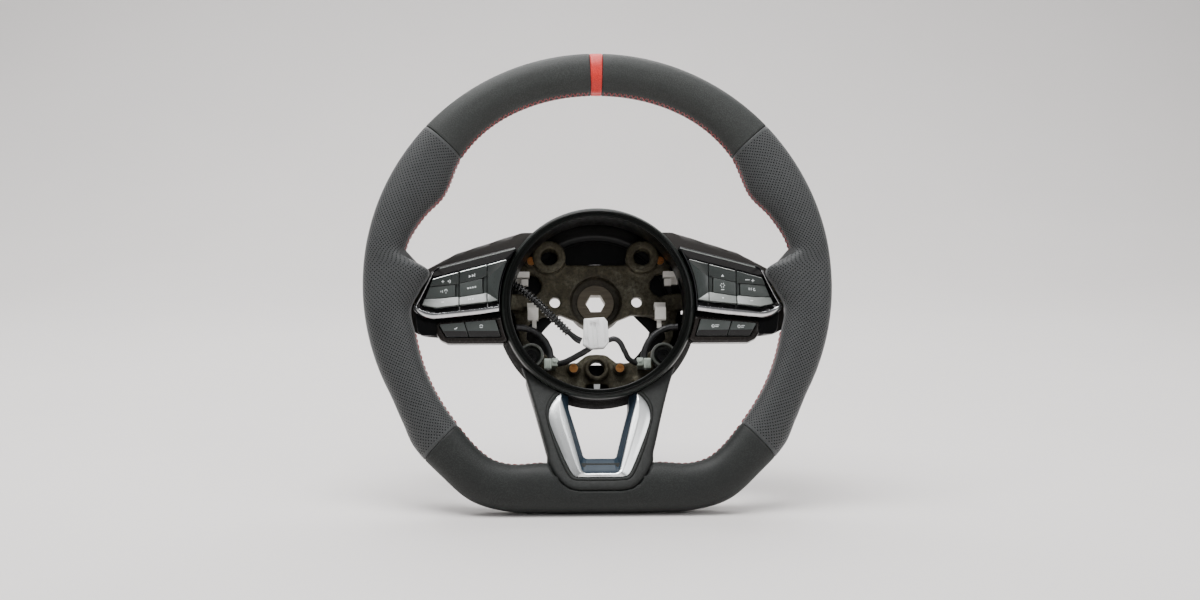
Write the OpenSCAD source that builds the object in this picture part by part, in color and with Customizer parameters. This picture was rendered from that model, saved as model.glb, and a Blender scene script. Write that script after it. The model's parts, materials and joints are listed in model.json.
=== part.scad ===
// Flat-bottomed, leather-wrapped steering wheel with the centre module taken out.
// X to the driver's right, Y away from the driver, Z up. The origin is on the hub axis,
// on the rear face of the hub boss, where the wheel seats on the column.

/* [Rim] */
// Outer radius of the round part of the rim
rim_outer_r = 185; // [183:0.5:187]
// Distance of the rim's middle plane in front of the column seat
rim_dish = 76; // [74:0.5:80]
// Height of the rim circle's centre above the hub axis
rim_rise = 7; // [5:0.5:9]
// Thickness of the rim from front to back
rim_depth = 30; // [28:0.5:32]
// Thickness of the leather wrap
leather_t = 1.4; // [1:0.1:1.6]
// Radius of the tube cast into the rim
core_r = 6; // [5:0.5:6]
// Angle from 12 o'clock at which the perforated grips start
grip_start = 47.5; // [45:0.5:52]
// Angle from 12 o'clock at which the perforated grips end
grip_end = 136; // [130:0.5:138]
// Half the angle of the coloured centre stripe
stripe_half = 1.6; // [1.2:0.1:3]

/* [Hub] */
// Size across the flats of the hexagonal column socket
hex_af = 14; // [12:0.5:16]
// Radius of the steel insert
insert_r = 15; // [13:0.5:16]
// Radius of the boss around the insert
boss_r = 22.5; // [22:0.5:24]
// Distance of each puller hole from the hub axis
puller_x = 33.4; // [32:0.2:35]
// Radius of the puller holes
puller_r = 4.4; // [4:0.1:5]
// Radius of the two upper module sockets
upper_socket_r = 6.9; // [6:0.1:7.5]
// Radius of the lower module socket
lower_socket_r = 6.3; // [6:0.1:7]
// Inner radius of the hub ring
bezel_inner_r = 69; // [68:0.5:70]
// Outer radius of the hub ring where it meets the covers
bezel_outer_r = 77; // [76:0.5:77]

/* [Lower spoke] */
// Slope of the lower spoke's face, in millimetres forward for each millimetre down
spoke_slope = 0.318; // [0.3:0.002:0.33]
// Wall of the covers
wall = 2.2; // [1.8:0.1:2.4]

/* [Switches] */
// Gap round each key
key_gap = 0.35; // [0.3:0.05:0.5]
// Travel of a key when pressed
key_travel = 0.8; // [0.5:0.1:0.8]

/* [Hidden] */

rim_y = -rim_dish;
ring_z = -9;        // centre height of the hub ring
seat_front = -12;   // front face of the hub boss
plate_front = -20;  // front face of the hub plate
plate_rear = -10;   // rear face of the hub plate
bezel_front = -70;  // front edge of the hub ring
bezel_seam = -57;   // plane where the hub ring meets the back cover
seal = 0.15;        // gap between neighbouring covers
sides = 12;         // sides of a rim section
squareness = 2.4;   // exponent of the rim section's superellipse
foam_gap = 0.6;     // gap between the foam and the leather
$fn = 72;

// ---------- Rim geometry ----------
// Outer and inner radius of the rim, by angle from 12 o'clock
rim_out_keys = [[0, 0], [118, 0], [126, 3.5], [132, 8.5], [141, 10.5], [150, 13.5], [158, 9],
    [168, 0.5], [180, -3.5]];
rim_in_keys = [[0, 151.5], [30, 151.5], [46, 147.5], [60, 139.5], [70, 147], [79, 153],
    [82.5, 151], [86.5, 133], [93, 140], [98.5, 148], [106, 149], [118, 152.5], [136, 158],
    [148, 163], [154, 160], [162, 150.5], [171, 145], [180, 143.5]];

function key_index(k, a, i = 0) = (i >= len(k) - 2 || a < k[i + 1][0]) ? i : key_index(k, a, i + 1);
function key_slope(k, i) =
    (i == 0 || i == len(k) - 1) ? 0 : (k[i + 1][1] - k[i - 1][1]) / (k[i + 1][0] - k[i - 1][0]);
function key_at(k, a) = let (i = key_index(k, a), h = k[i + 1][0] - k[i][0], t = (a - k[i][0]) / h)
    (2 * t^3 - 3 * t^2 + 1) * k[i][1] + (t^3 - 2 * t^2 + t) * h * key_slope(k, i)
    + (3 * t^2 - 2 * t^3) * k[i + 1][1] + (t^3 - t^2) * h * key_slope(k, i + 1);
function fold(a) = abs(a) > 180 ? 360 - abs(a) : abs(a);
function rim_out(a) = rim_outer_r + key_at(rim_out_keys, fold(a));
function rim_in(a) = key_at(rim_in_keys, fold(a));

// The tube in the rim: an arc, two straight corner pieces and a straight bottom
core_arc_r = 168;
core_arc_end = 120;
core_mid_angle = 145;
core_low_angle = 155;
core_bottom = 162.2;
function polar(a, r) = [r * sin(a), r * cos(a)];
core_p = polar(core_arc_end, core_arc_r);
core_q = polar(core_mid_angle, 179.5);
core_s = polar(core_low_angle, core_bottom / cos(180 - core_low_angle));
function line_polar(p, q, a) = let (d = q - p)
    (p.x * d.y - p.y * d.x) / (sin(a) * d.y - cos(a) * d.x);
function core_at(a) = let (b = fold(a))
    b <= core_arc_end ? core_arc_r
    : b <= core_mid_angle ? line_polar(core_p, core_q, b)
    : b <= core_low_angle ? line_polar(core_q, core_s, b)
    : core_bottom / cos(180 - b);

function power(v, e) = sign(v) * pow(abs(v), e);
// A section of the rim at angle a, inset from the leather's surface
function rim_section(a, inset) = let (
        mid = (rim_out(a) + rim_in(a)) / 2,
        w = (rim_out(a) - rim_in(a)) / 2 - inset,
        h = rim_depth / 2 - inset)
    [for (j = [0:sides - 1]) let (t = 360 * j / sides, r = mid + w * power(cos(t), 2 / squareness))
        [r * sin(a), rim_y + h * power(sin(t), 2 / squareness), rim_rise + r * cos(a)]];
// A round section about the tube in the rim
function core_section(a, cr) = [for (j = [0:sides - 1]) let (t = 360 * j / sides, r = core_at(a) + cr * cos(t))
    [r * sin(a), rim_y + cr * sin(t), rim_rise + r * cos(a)]];

// Skin between two rows of sections, the second inside the first
module skin(outer, inner) {
    n = len(outer);
    m = len(outer[0]);
    off = n * m;
    rows = [for (i = [0:n - 2], j = [0:m - 1]) [i * m + j, (i + 1) * m + j,
        (i + 1) * m + (j + 1) % m, i * m + (j + 1) % m]];
    ends = [for (j = [0:m - 1]) each
        [[j, (j + 1) % m, off + (j + 1) % m, off + j],
         [off - m + j, 2 * off - m + j, 2 * off - m + (j + 1) % m, off - m + (j + 1) % m]]];
    faces = concat(
        [for (f = rows) each [[f[0], f[2], f[1]], [f[0], f[3], f[2]]]],
        [for (f = rows) each [[off + f[0], off + f[1], off + f[2]], [off + f[0], off + f[2], off + f[3]]]],
        [for (f = ends) each [[f[0], f[2], f[1]], [f[0], f[3], f[2]]]]);
    polyhedron([for (l = concat(outer, inner)) each l], faces, convexity = 6);
}
// Angles of the sections between two ends, shared by the foam and the leather over it
station_step = 5;
function stations_between(a0, a1) = concat([a0],
    [for (a = [ceil((a0 + 1) / station_step) * station_step:station_step:a1 - 1]) a], [a1]);
// Once round the rim, open at a hairline butt joint at 6 o'clock
round_stations = stations_between(-179.8, 179.8);
module leather_panel(a0, a1) {
    stations = stations_between(a0, a1);
    skin([for (a = stations) rim_section(a, 0)], [for (a = stations) rim_section(a, leather_t)]);
}

// ---------- Helpers ----------
// Outline in X and Z, extruded from y0 back to y1
module slab(y0, y1) translate([0, y1, 0]) rotate([90, 0, 0]) linear_extrude(y1 - y0) children();
// Outline in Y and Z, extruded from x0 to x1
module beam(x0, x1) translate([x0, 0, 0]) rotate([90, 0, 90]) linear_extrude(x1 - x0) children();
// Round bar along Y
module rod(x, z, r, y0, y1) translate([x, y1, z]) rotate([90, 0, 0]) cylinder(r = r, h = y1 - y0);
// Round bar about the hub ring's axis
module ring_rod(r, y0, y1) rod(0, ring_z, r, y0, y1);
module both() {
    children();
    mirror([1, 0, 0]) children();
}
module left() mirror([1, 0, 0]) children();
function both_halves(h) = concat(h, [for (i = [len(h) - 1:-1:0]) [-h[i].x, h[i].y]]);
module half_box(x0, x1, y0, y1, z0, z1) translate([x0, y0, z0]) cube([x1 - x0, y1 - y0, z1 - z0]);

// ---------- Frame of the wheel ----------
arm_low = -8;
arm_high = 6;
leg_x0 = 30;
leg_x1 = 38;
socket_x = 38;
socket_z = 36;
low_socket_z = -55.5;
tab_x = 53;
tab_z = -47.5;
sleeve_r = 9.5;
arm_end = core_arc_r - core_r - 0.1;
leg_end = rim_rise - core_bottom + core_r + 0.1;
upper_screw = [52.5, 33];
lower_screw = [18.7, -55.3];

module plate_outline() difference() {
    union() {
        polygon(both_halves([[0, 31], [30, 31], [40, 44], [56, 42], [62, 30], [62, 8], [64, -8],
            [60, -16], [44, -12], [29, -10.5], [16, -15.8], [0, -22]]));
        intersection() {
            translate([0, ring_z]) circle(r = 66);
            translate([-70, -80]) square([140, 74]);
        }
        circle(r = boss_r);
    }
    difference() {
        polygon(both_halves([[0, -18], [16, -15.8], [29, -10.5], [44, -12], [55, -18], [57, -30],
            [50, -37], [42, -42], [37, -48], [26, -50], [17, -51], [8.5, -44], [0, -43]]));
        circle(r = boss_r);
    }
    for (s = [-1, 1]) translate([s * 54, 14]) circle(r = 9.5);
}
module arm() {
    translate([0, 0, arm_low]) linear_extrude(arm_high - arm_low) polygon([[56, -10], [82, -25.6],
        [112, -38], [134, -48.5], [147, -58], [153, -64], [arm_end, -70], [arm_end, -82], [151, -80],
        [143, -66], [134, -57.6], [109, -49], [79, -35], [56, -20]]);
    translate([0, rim_y, rim_rise]) rotate([90, 0, 0]) difference() {
        rotate([0, 0, -7]) rotate_extrude(angle = 9) translate([core_arc_r, 0]) circle(r = sleeve_r);
        rotate([0, 0, -8]) rotate_extrude(angle = 11) translate([core_arc_r, 0]) circle(r = core_r + 0.05);
    }
}
module leg() {
    difference() {
        union() {
            beam(leg_x0, leg_x1) polygon([[-8, -62], [-20, -62], [-27, -69], [-42, -90], [-61, -118],
                [-74, -138], [-80, leg_end], [-72, leg_end], [-64, -138], [-51, -118], [-33, -92],
                [-14, -72], [-8, -68]]);
            translate([leg_x0 - 2, rim_y, rim_rise - core_bottom]) rotate([0, 90, 0])
                cylinder(r = sleeve_r, h = leg_x1 - leg_x0 + 4);
        }
        translate([leg_x0 - 3, rim_y, rim_rise - core_bottom]) rotate([0, 90, 0])
            cylinder(r = core_r + 0.05, h = leg_x1 - leg_x0 + 6);
    }
}
// Room for the hub plate inside the bowl of the back cover
module bowl_room() translate([0, 0, ring_z]) rotate([90, 0, 0]) rotate_extrude()
    polygon([[0, 45], [72, 45], [76.8, 38], [75.8, 27], [72, 17], [65.4, 10.6], [56.6, 7.9], [0, 7.9]]);
module hub_plate() intersection() {
    union() {
        slab(plate_front, plate_rear) plate_outline();
        for (s = [-1, 1]) rod(s * socket_x, socket_z, 13.5, -28, plate_rear);
        rod(0, low_socket_z, 10, -26, plate_rear);
        for (s = [-1, 1]) rod(s * upper_screw.x, upper_screw.y, 5.5, -24, plate_rear);
        for (s = [-1, 1]) rod(s * lower_screw.x, lower_screw.y, 5, -24, plate_rear);
        for (s = [-1, 1]) intersection() {
            rod(s * tab_x, tab_z, 8, -33, plate_rear);
            ring_rod(68, -40, 0);
        }
    }
    bowl_room();
}
module armature() {
    color("#6b6455") difference() {
        union() {
            hub_plate();
            rod(0, 0, boss_r, plate_front, 0);
            both() arm();
            both() leg();
        }
        rod(0, 0, 20.5, plate_front - 1, seat_front);
        rod(0, 0, insert_r, plate_front - 1, 1);
        for (s = [-1, 1]) rod(s * puller_x, 0, puller_r, -40, 1);
        for (s = [-1, 1]) rod(s * socket_x, socket_z, upper_socket_r, -40, 1);
        rod(0, low_socket_z, lower_socket_r, -40, 1);
        for (s = [-1, 1]) rod(s * upper_screw.x, upper_screw.y, 1.6, -40, 1);
        for (s = [-1, 1]) rod(s * lower_screw.x, lower_screw.y, 1.6, -40, 1);
        for (s = [-1, 1]) rod(s * tab_x, tab_z, 2.05, -40, 1);
        slab(-40, 1) translate([-9, -73.4]) square([18, 5]);
    }
}
module rim_core() color("#8d8f92") skin([for (a = round_stations) core_section(a, core_r)],
    [for (a = round_stations) core_section(a, core_r - 1.6)]);
module hub_insert() {
    color("#77797c") difference() {
        rod(0, 0, insert_r - 0.02, seat_front, 0);
        rotate([90, 0, 0]) cylinder(r = hex_af / (2 * cos(30)), h = 60, center = true, $fn = 6);
    }
}

// ---------- Rim ----------
// Space that the lower spoke's cover takes out of the rim
module lower_spoke_pocket() {
    intersection() {
        slab(-100, -60) surround_outline(0.2);
        face_layer(-30, 4.2);
    }
    slab(-100, -62) polygon(both_halves([[0, -120], [42, -120], [41.2, -137.5], [0, -137.5]]));
}
module rim_foam() {
    color("#3a3a38") difference() {
        skin([for (a = round_stations) rim_section(a, leather_t + foam_gap)],
            [for (a = round_stations) core_section(a, core_r + 0.5)]);
        both() half_box(125, 178.5, -86.5, -50, arm_low - 7.5, arm_high + 8.5);
        both() half_box(leg_x0 - 3, leg_x1 + 3, -86.5, -55, -166, -125);
        lower_spoke_pocket();
    }
}
module top_leather_right() color("#232525") leather_panel(stripe_half + 0.05, grip_start);
module top_leather_left() left() top_leather_right();
module centre_stripe() color("#d81f26") leather_panel(-stripe_half, stripe_half);
module grip_leather_right() {
    color("#26282a") difference() {
        leather_panel(grip_start + 0.05, grip_end);
        half_box(130, 168, -84, -50, arm_low - 2, arm_high + 2);
    }
}
module grip_leather_left() left() grip_leather_right();
module bottom_leather() {
    color("#232525") difference() {
        leather_panel(grip_end + 0.05, 360 - grip_end - 0.05);
        both() half_box(leg_x0 - 2, leg_x1 + 2, -84, -62, -152, -125);
        lower_spoke_pocket();
    }
}

// ---------- Hub covers ----------
module hub_bezel() {
    color("#0f1011") difference() {
        union() {
            translate([0, 0, ring_z]) rotate([90, 0, 0]) rotate_extrude() polygon([[bezel_inner_r, 70],
                [72, 70], [74, 69], [76.4, 62], [bezel_outer_r, 60], [bezel_outer_r, 57], [72.5, 57],
                [72.5, 40], [bezel_inner_r, 40]]);
            intersection() {
                both() union() {
                    rod(tab_x, tab_z, 10, -40, -33.1);
                    rod(tab_x, tab_z, 10.2, -45, -40);
                }
                ring_rod(70, -50, -30);
            }
        }
        both() rod(tab_x, tab_z, 7.5, -46, -37);
        both() rod(tab_x, tab_z, 2.1, -50, -30);
        both() half_box(62, 80, -56, -44, 4, 13);
        both() half_box(60, 80, -52, -39, -30, -20);
    }
}
rear_plate_r = 62.5;
module back_cover() {
    color("#151617") difference() {
        translate([0, 0, ring_z]) rotate([90, 0, 0]) rotate_extrude() polygon([[bezel_outer_r, 56.9],
            [79.5, 48], [81, 38], [80, 26], [76, 14], [69, 6.5], [rear_plate_r, 5], [rear_plate_r, 7.7],
            [66, 8.4], [73, 16], [77, 27], [78, 38], [76.8, 47], [74.6, 56.9]]);
        both() half_box(60, 90, -46, -8, arm_low - 1.5, arm_high + 1.5);
        both() half_box(leg_x0 - 1.5, leg_x1 + 1.5, -58, -3, -95, -50);
    }
}
// Flat ring that closes the back of the bowl round the column
module rear_plate() {
    color("#18191a") difference() {
        ring_rod(rear_plate_r - 0.3, -7, -4);
        rod(0, -12, 45.5, -20, 0);
        both() half_box(leg_x0 - 1.5, leg_x1 + 1.5, -58, -3, -95, -50);
        both() rod(46, 0, 2.2, -10, 0);
    }
}
// Closed body behind a side spoke, drawn from its sections along X
function spoke_stations(in) = [[60, -16, 50, -37, 36, -28], [112, -31, 33, -36, 20, -28],
    [138, -43, 19, -34, 9, -27], [148.6, -54, 3, -29, 0, -24]];
module spoke_body(in, front) hull() for (s = spoke_stations(in))
    beam(min(s[0], 149 - in), min(s[0], 149 - in) + 0.1) polygon([[front, s[3] + in], [front, s[2] - in],
        [(s[1] - in - 58) / 2, s[2] - in - 1], [s[1] - in, s[4] - in], [s[1] - in, s[5] + in],
        [(s[1] - in - 58) / 2, s[3] + in + 1]]);
module right_spoke_back() {
    color("#1a1918") difference() {
        spoke_body(0, -58);
        spoke_body(wall, -59);
        ring_rod(bezel_outer_r + seal, -70, -56);
        ring_rod(81.2, -57, 10);
        half_box(138, 160, -62, -54.4, arm_low - 1, arm_high + 1);
    }
}
module left_spoke_back() left() right_spoke_back();

// ---------- Lower spoke ----------
surround_half = [[0, -60], [58, -64], [50.5, -92], [41, -130], [41, -136], [36.5, -145.5],
    [30, -153.5], [24, -157.5], [16, -159], [0, -159]];
v_outer = [[0, -70], [28, -70], [30, -83], [36.5, -90], [39.5, -97.5], [38.5, -104], [29, -130],
    [20.5, -148], [0, -148]];
v_inner = [[0, -60], [31, -70], [29.5, -84.5], [14.5, -143], [12.5, -145], [0, -145]];
liner_inner = [[0, -60], [24, -70], [24, -92], [14, -130], [11.2, -133.3], [0, -133.3]];
module surround_outline(grow) polygon(both_halves([for (p = surround_half)
    [p.x == 0 ? 0 : p.x + grow, p.y < -140 ? p.y - grow : p.y]]));
// Everything between two planes parallel to the lower spoke's face
function face_y(z) = -68 + (z + 85) * spoke_slope;
module face_layer(d0, d1) beam(-70, 70) polygon([[face_y(-50) + d0, -50], [face_y(-50) + d1, -50],
    [face_y(-170) + d1, -170], [face_y(-170) + d0, -170]]);
// Everything in front of the sloping rear of the lower spoke
module rear_wedge(inset) beam(-70, 70) polygon([[-120, -50], [-8 - inset, -50], [-8 - inset, -68],
    [-28 - inset, -92], [-46 - inset, -118], [-60 - inset, -138], [-60 - inset, -170], [-120, -170]]);
module band(outer, inner) slab(-120, 0) difference() {
    polygon(both_halves(outer));
    polygon(both_halves(inner));
}
walls_outer = [[0, -60], [58 - wall, -64], [50.5 - wall, -92], [41 - wall, -130], [41 - wall, -170],
    [0, -170]];
walls_inner = [[0, -60], [31 + wall, -70], [29.5 + wall, -84.5], [14.5 + wall, -143],
    [12.5, -145 - wall], [0, -145 - wall]];
module hub_clearance() {
    ring_rod(bezel_outer_r + seal, -80, -56);
    ring_rod(81.2, -57, 10);
}
module lower_spoke_cover() {
    color("#2b2d2d") difference() {
        intersection() {
            band(surround_half, v_inner);
            face_layer(0, 14);
        }
        intersection() {
            band(walls_outer, walls_inner);
            face_layer(2.6, 20);
        }
        intersection() {
            half_box(-60, 60, -120, 0, -180, -136.8);
            face_layer(2.6, 20);
        }
        intersection() {
            band([for (p = v_outer) [p.x == 0 ? 0 : p.x + 0.1, p.y < -140 ? p.y - 0.1 : p.y]], v_inner);
            face_layer(-5, 1.2);
        }
        hub_clearance();
    }
}
back_inner = [[0, -60], [26, -70], [26, -92], [16, -130], [13, -135.3], [0, -135.3]];
module lower_spoke_back() {
    color("#1a1918") difference() {
        intersection() {
            band(surround_half, back_inner);
            face_layer(14.1, 80);
            rear_wedge(0);
            half_box(-60, 60, -120, 0, -136.7, -60);
        }
        intersection() {
            band(walls_outer,
                [for (p = back_inner) [p.x == 0 ? 0 : p.x + wall, p.y < -130 ? p.y - wall : p.y]]);
            rear_wedge(wall);
        }
        ring_rod(81.2, -100, 10);
        both() half_box(leg_x0 - 1, leg_x1 + 1, -100, -40, -140, -125);
    }
}
module v_trim() {
    color("#c9ccce") difference() {
        intersection() {
            band(v_outer, v_inner);
            face_layer(-1.2, 1.1);
        }
        hub_clearance();
    }
}
module v_trim_liner() {
    liner_outer = [for (p = v_inner) [p.x == 0 ? 0 : p.x - 0.1, p.y < -140 ? p.y + 0.1 : p.y]];
    liner_wall = [for (p = liner_inner) [p.x == 0 ? 0 : p.x + 1.8, p.y < -130 ? p.y - 1.8 : p.y]];
    color("#2e3a48") difference() {
        union() {
            intersection() {
                band(liner_outer, liner_inner);
                face_layer(2, 4);
            }
            intersection() {
                band(liner_wall, liner_inner);
                face_layer(2, 80);
                rear_wedge(0);
            }
        }
        hub_clearance();
    }
}

// ---------- Switch pods ----------
frame_front = -73;
frame_rear = -58.2;
pod_outline = [[50, 39], [126.5, 18.8], [130.5, 15.5], [145, -14], [142, -18], [135.5, -21.4],
    [129, -22.6], [96.7, -19.4], [60, -15]];
apron_outline = [[60, 30], [143.5, 10], [143.8, -20], [142.3, -31], [139, -34], [60, -34]];
panel_outline = [[60, 28], [87.5, 20.3], [109.4, 14.6], [130.1, 9], [138.1, -11.4], [136, -12],
    [127.4, -14], [109.4, -11.8], [87, -9.4], [60, -6.5]];
column_a = 109.3;   // split between the outer and the inner rocker
column_b = 87.3;    // split between the inner rocker and the blank panel
lower_outline = [[70, -20], [78, -20.5], [127, -24.5], [127, -34], [124, -38.5], [118, -41.4],
    [75, -41.5], [70, -38]];
function grown(p, g) = let (c = [102, 1.5]) [for (q = p) c + (q - c) * (norm(q - c) + g) / norm(q - c)];
module right_switch_frame() {
    color("#101112") difference() {
        union() {
            slab(frame_front, frame_rear) polygon(pod_outline);
            slab(-62, frame_rear) polygon(apron_outline);
        }
        slab(-80, -61.5) polygon(grown(panel_outline, 0.6));
        ring_rod(bezel_outer_r + seal, -80, -50);
        slab(-80, -50) offset(delta = 0.15) polygon(lower_outline);
        half_box(132, 146, -68, -50, arm_low - 0.6, arm_high + 0.6);
        rod(100, 0, 6, -70, -50);
    }
}
module left_switch_frame() left() right_switch_frame();
module right_chrome_trim() {
    color("#b9bcc0") difference() {
        slab(-75.6, frame_front - 0.02) polygon([[130.5, 15.5], [145, -14], [142, -18],
            [135.5, -21.4], [129, -22.6], [96.7, -19.4], [70, -15.9], [70, -12], [103, -15.8],
            [127.8, -18.6], [135.6, -16.3], [141, -13], [128.6, 13.8]]);
        ring_rod(bezel_outer_r + seal, -80, -50);
    }
}
module left_chrome_trim() left() right_chrome_trim();
module right_blank_panel() {
    color("#2f3334") difference() {
        slab(-73.6, -68) intersection() {
            polygon(panel_outline);
            translate([50, -20]) square([column_b - key_gap - 50, 60]);
        }
        ring_rod(bezel_outer_r + 0.7, -80, -50);
    }
}
module left_blank_panel() left() right_blank_panel();
// A rocker fills a column of the panel, with a window for its centre key
module column(x0, x1) intersection() {
    polygon(panel_outline);
    translate([x0 + key_gap, -20]) square([x1 - x0 - 2 * key_gap, 60]);
}
outer_window = [[112, 4.6], [127.8, 3.2], [131.5, -6.2], [112, -4.6]];
inner_window = [[89.5, 9], [107, 5.4], [107, -4.4], [89.5, -2.8]];
pivot_y = -67;
pivot_r = 1.2;
module rocker(x0, x1, window, stubs, pivot_z) {
    difference() {
        slab(-73.8, -68) column(x0, x1);
        slab(-80, -60) polygon(window);
    }
    for (s = stubs) translate([s[0], pivot_y, pivot_z]) rotate([0, 90, 0])
        cylinder(r = pivot_r, h = s[1] - s[0]);
}
outer_stubs = [[109.9, 111.6], [130.2, 132.2]];
inner_stubs = [[87.7, 89.2], [107.3, 108.8]];
function shrunk(p, g) = let (c = (p[0] + p[1] + p[2] + p[3]) / 4)
    [for (q = p) [q.x - sign(q.x - c.x) * g, q.y - sign(q.y - c.y) * (g + 0.1)]];
key_rear = -67.4;
module centre_key(window) slab(-74.2, key_rear) polygon(shrunk(window, key_gap));
module right_outer_rocker() color("#2f3334") rocker(column_a, 150, outer_window, outer_stubs, 0);
module left_outer_rocker() left() right_outer_rocker();
module right_inner_rocker() color("#2f3334") rocker(column_b, column_a, inner_window, inner_stubs, 3);
module left_inner_rocker() left() right_inner_rocker();
module right_outer_key() color("#343839") centre_key(outer_window);
module left_outer_key() left() right_outer_key();
module right_inner_key() color("#343839") centre_key(inner_window);
module left_inner_key() left() right_inner_key();

lower_pocket = [[80.5, -22.4], [125.6, -26.2], [119.6, -36.8], [76.2, -36.6]];
module right_lower_frame() {
    color("#1b1a1a") difference() {
        slab(-70, frame_rear) polygon(lower_outline);
        slab(-80, -61) polygon(lower_pocket);
        ring_rod(bezel_outer_r + seal, -80, -50);
    }
}
module left_lower_frame() left() right_lower_frame();
module lower_key(top_in, top_out, low_out, low_in) slab(-71.5, -62.4)
    polygon([top_in, top_out, low_out, low_in]);
module right_lower_outer_key() color("#2f3334") lower_key([105.6, -24.9], [124.8, -26.6],
    [119.3, -36.4], [102, -36.3]);
module left_lower_outer_key() left() right_lower_outer_key();
module right_lower_inner_key() color("#2f3334") lower_key([81, -22.9], [104.8, -24.8],
    [101.2, -36.3], [76.9, -36.2]);
module left_lower_inner_key() left() right_lower_inner_key();
module board_outline() polygon([[80, 19], [128, 7], [134, -9], [126, -12], [80, -7]]);
module right_switch_board() color("#1f5a3a") slab(-64.2, -62.6) board_outline();
module left_switch_board() left() right_switch_board();
module right_key_mat() {
    color("#5a5d60") {
        slab(-65.4, -64.25) board_outline();
        for (x = [98.2, 121], z = [-9, 0.5, 9]) rod(x, z, 1.8, key_rear + key_travel + 0.3, -65.4);
    }
}
module left_key_mat() left() right_key_mat();

// ---------- Hardware ----------
// Bent wire behind a socket, open towards the angle given
clip_wire_r = 0.7;
module clip_wire(x, z, r, open_to) translate([x, plate_rear + clip_wire_r + 0.1, z]) rotate([90, 0, 0])
    rotate([0, 0, open_to + 55]) rotate_extrude(angle = 250) translate([r, 0]) circle(r = clip_wire_r);
module module_clips() {
    color("#a7a9ab") {
        both() clip_wire(socket_x, socket_z, 8.2, 50);
        clip_wire(0, low_socket_z, 7.6, 90);
    }
}
module cross_screw(x, z, head_y, head_r, shank_r, length) difference() {
    union() {
        rod(x, z, head_r, head_y, head_y + 2.2);
        rod(x, z, shank_r, head_y + 2.2, head_y + length);
    }
    slab(head_y - 1, head_y + 1.2) translate([x, z]) square([head_r * 1.1, 0.9], center = true);
    slab(head_y - 1, head_y + 1.2) translate([x, z]) square([0.9, head_r * 1.1], center = true);
}
module frame_screws() color("#b5703a") for (s = [-1, 1], p = [upper_screw, lower_screw])
    cross_screw(s * p.x, p.y, -26.25, 3.4, 1.55, 12);
module bezel_screws() color("#1c1c1c") for (s = [-1, 1]) difference() {
    union() {
        rod(s * tab_x, tab_z, 5, -40.2, -37.05);
        rod(s * tab_x, tab_z, 2, -37.05, -20);
    }
    translate([s * tab_x, -39, tab_z]) rotate([90, 0, 0]) cylinder(r = 2.2, h = 4, $fn = 6);
}
module cover_screws() color("#2a2a2a") for (s = [-1, 1]) {
    rod(s * 46, 0, 4, -3.95, -1.8);
    rod(s * 46, 0, 2.1, -7.95, -3.95);
}
module switch_plugs() color("#c8c6be") both() {
    half_box(54, 64, -40, -33, 16.8, 21.4);
    half_box(55, 60.5, -38, -33, 10.4, 15.6);
    half_box(47, 55.6, -40, -33, -18, -8);
    half_box(48.5, 52, -38, -35, -24.5, -18);
    half_box(47, 55.9, -33, -20.1, -7, -3);
    half_box(60, 66, -33, -30, 12, 20);
}
module centre_clip() color("#dcdcd8") slab(-26, plate_front - 0.1)
    polygon([[-2.6, -68.4], [2.6, -68.4], [2, -74], [-2, -74]]);
module main_connector() color("#eef0f1") translate([-2.2, -54, -32]) rotate([0, -4, 0]) difference() {
    slab(-6.5, 6.5) polygon([[-8, 12.2], [8, 12.2], [10.5, 8.5], [10.3, -8], [6.5, -12.2],
        [-4.5, -12.2], [-10.5, -8.5]]);
    half_box(-2, 4, -7, -5.4, -10, 8);
}
module branch_connector() {
    half_box(31.5, 36.6, -44, -36, -56, -49.6);
    half_box(36.9, 42.6, -46, -36, -58.4, -50.2);
    half_box(33, 41, -35.9, -20.1, -56, -51);
}
module right_branch_connector() color("#b9c2b8") branch_connector();
module left_branch_connector() left() color("#b9c2b8") branch_connector();

// ---------- Harness ----------
// Routes of the leads, each with its own diameter
conduit_route = [[-66, -50, 8.5], [-58, -52, 3], [-49, -53, -5], [-40, -54, -14], [-31, -54, -23],
    [-24, -54, -30], [-17.4, -54, -35.5], [-13.2, -54, -37.6]];
left_lead_route = [[-4.5, -53.6, -41.6], [-8.8, -52, -44.8], [-13, -50, -47], [-20, -47, -50.5],
    [-26, -44.5, -53], [-31.3, -42, -54]];
right_lead_route = [[5, -54, -38], [8.8, -54, -37], [13, -54, -36], [17.5, -53, -38.5], [21, -50, -44.5],
    [25, -46, -51], [31.3, -42, -54]];
arc_route = [[65.5, -44.5, -25], [58, -41, -25], [50, -40, -28], [43, -40, -34], [38.6, -40, -42],
    [37.2, -40, -50]];
module cord(route, r, n = 8) {
    k = len(route);
    dirs = [for (i = [0:k - 1]) let (d = route[min(i + 1, k - 1)] - route[max(i - 1, 0)]) d / norm(d)];
    loops = [for (i = [0:k - 1]) let (d = dirs[i], c = cross(d, [0, 1, 0]), u = c / norm(c), v = cross(d, u))
        [for (j = [0:n - 1]) route[i] + r * (u * cos(360 * j / n) + v * sin(360 * j / n))]];
    faces = concat(
        [for (i = [0:k - 2], j = [0:n - 1]) each [[i * n + j, (i + 1) * n + j, (i + 1) * n + (j + 1) % n],
            [i * n + j, (i + 1) * n + (j + 1) % n, i * n + (j + 1) % n]]],
        [[for (j = [0:n - 1]) j]],
        [[for (j = [n - 1:-1:0]) (k - 1) * n + j]]);
    polyhedron([for (l = loops) each l], faces, convexity = 4);
}
module conduit() color("#161616") cord(conduit_route, 3.4, 10);
module left_lead() color("#161616") cord(left_lead_route, 2.5);
module right_lead() color("#161616") cord(right_lead_route, 2.2);
module right_arc_cable() color("#161616") cord(arc_route, 2.8);
module left_arc_cable() left() right_arc_cable();

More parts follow.
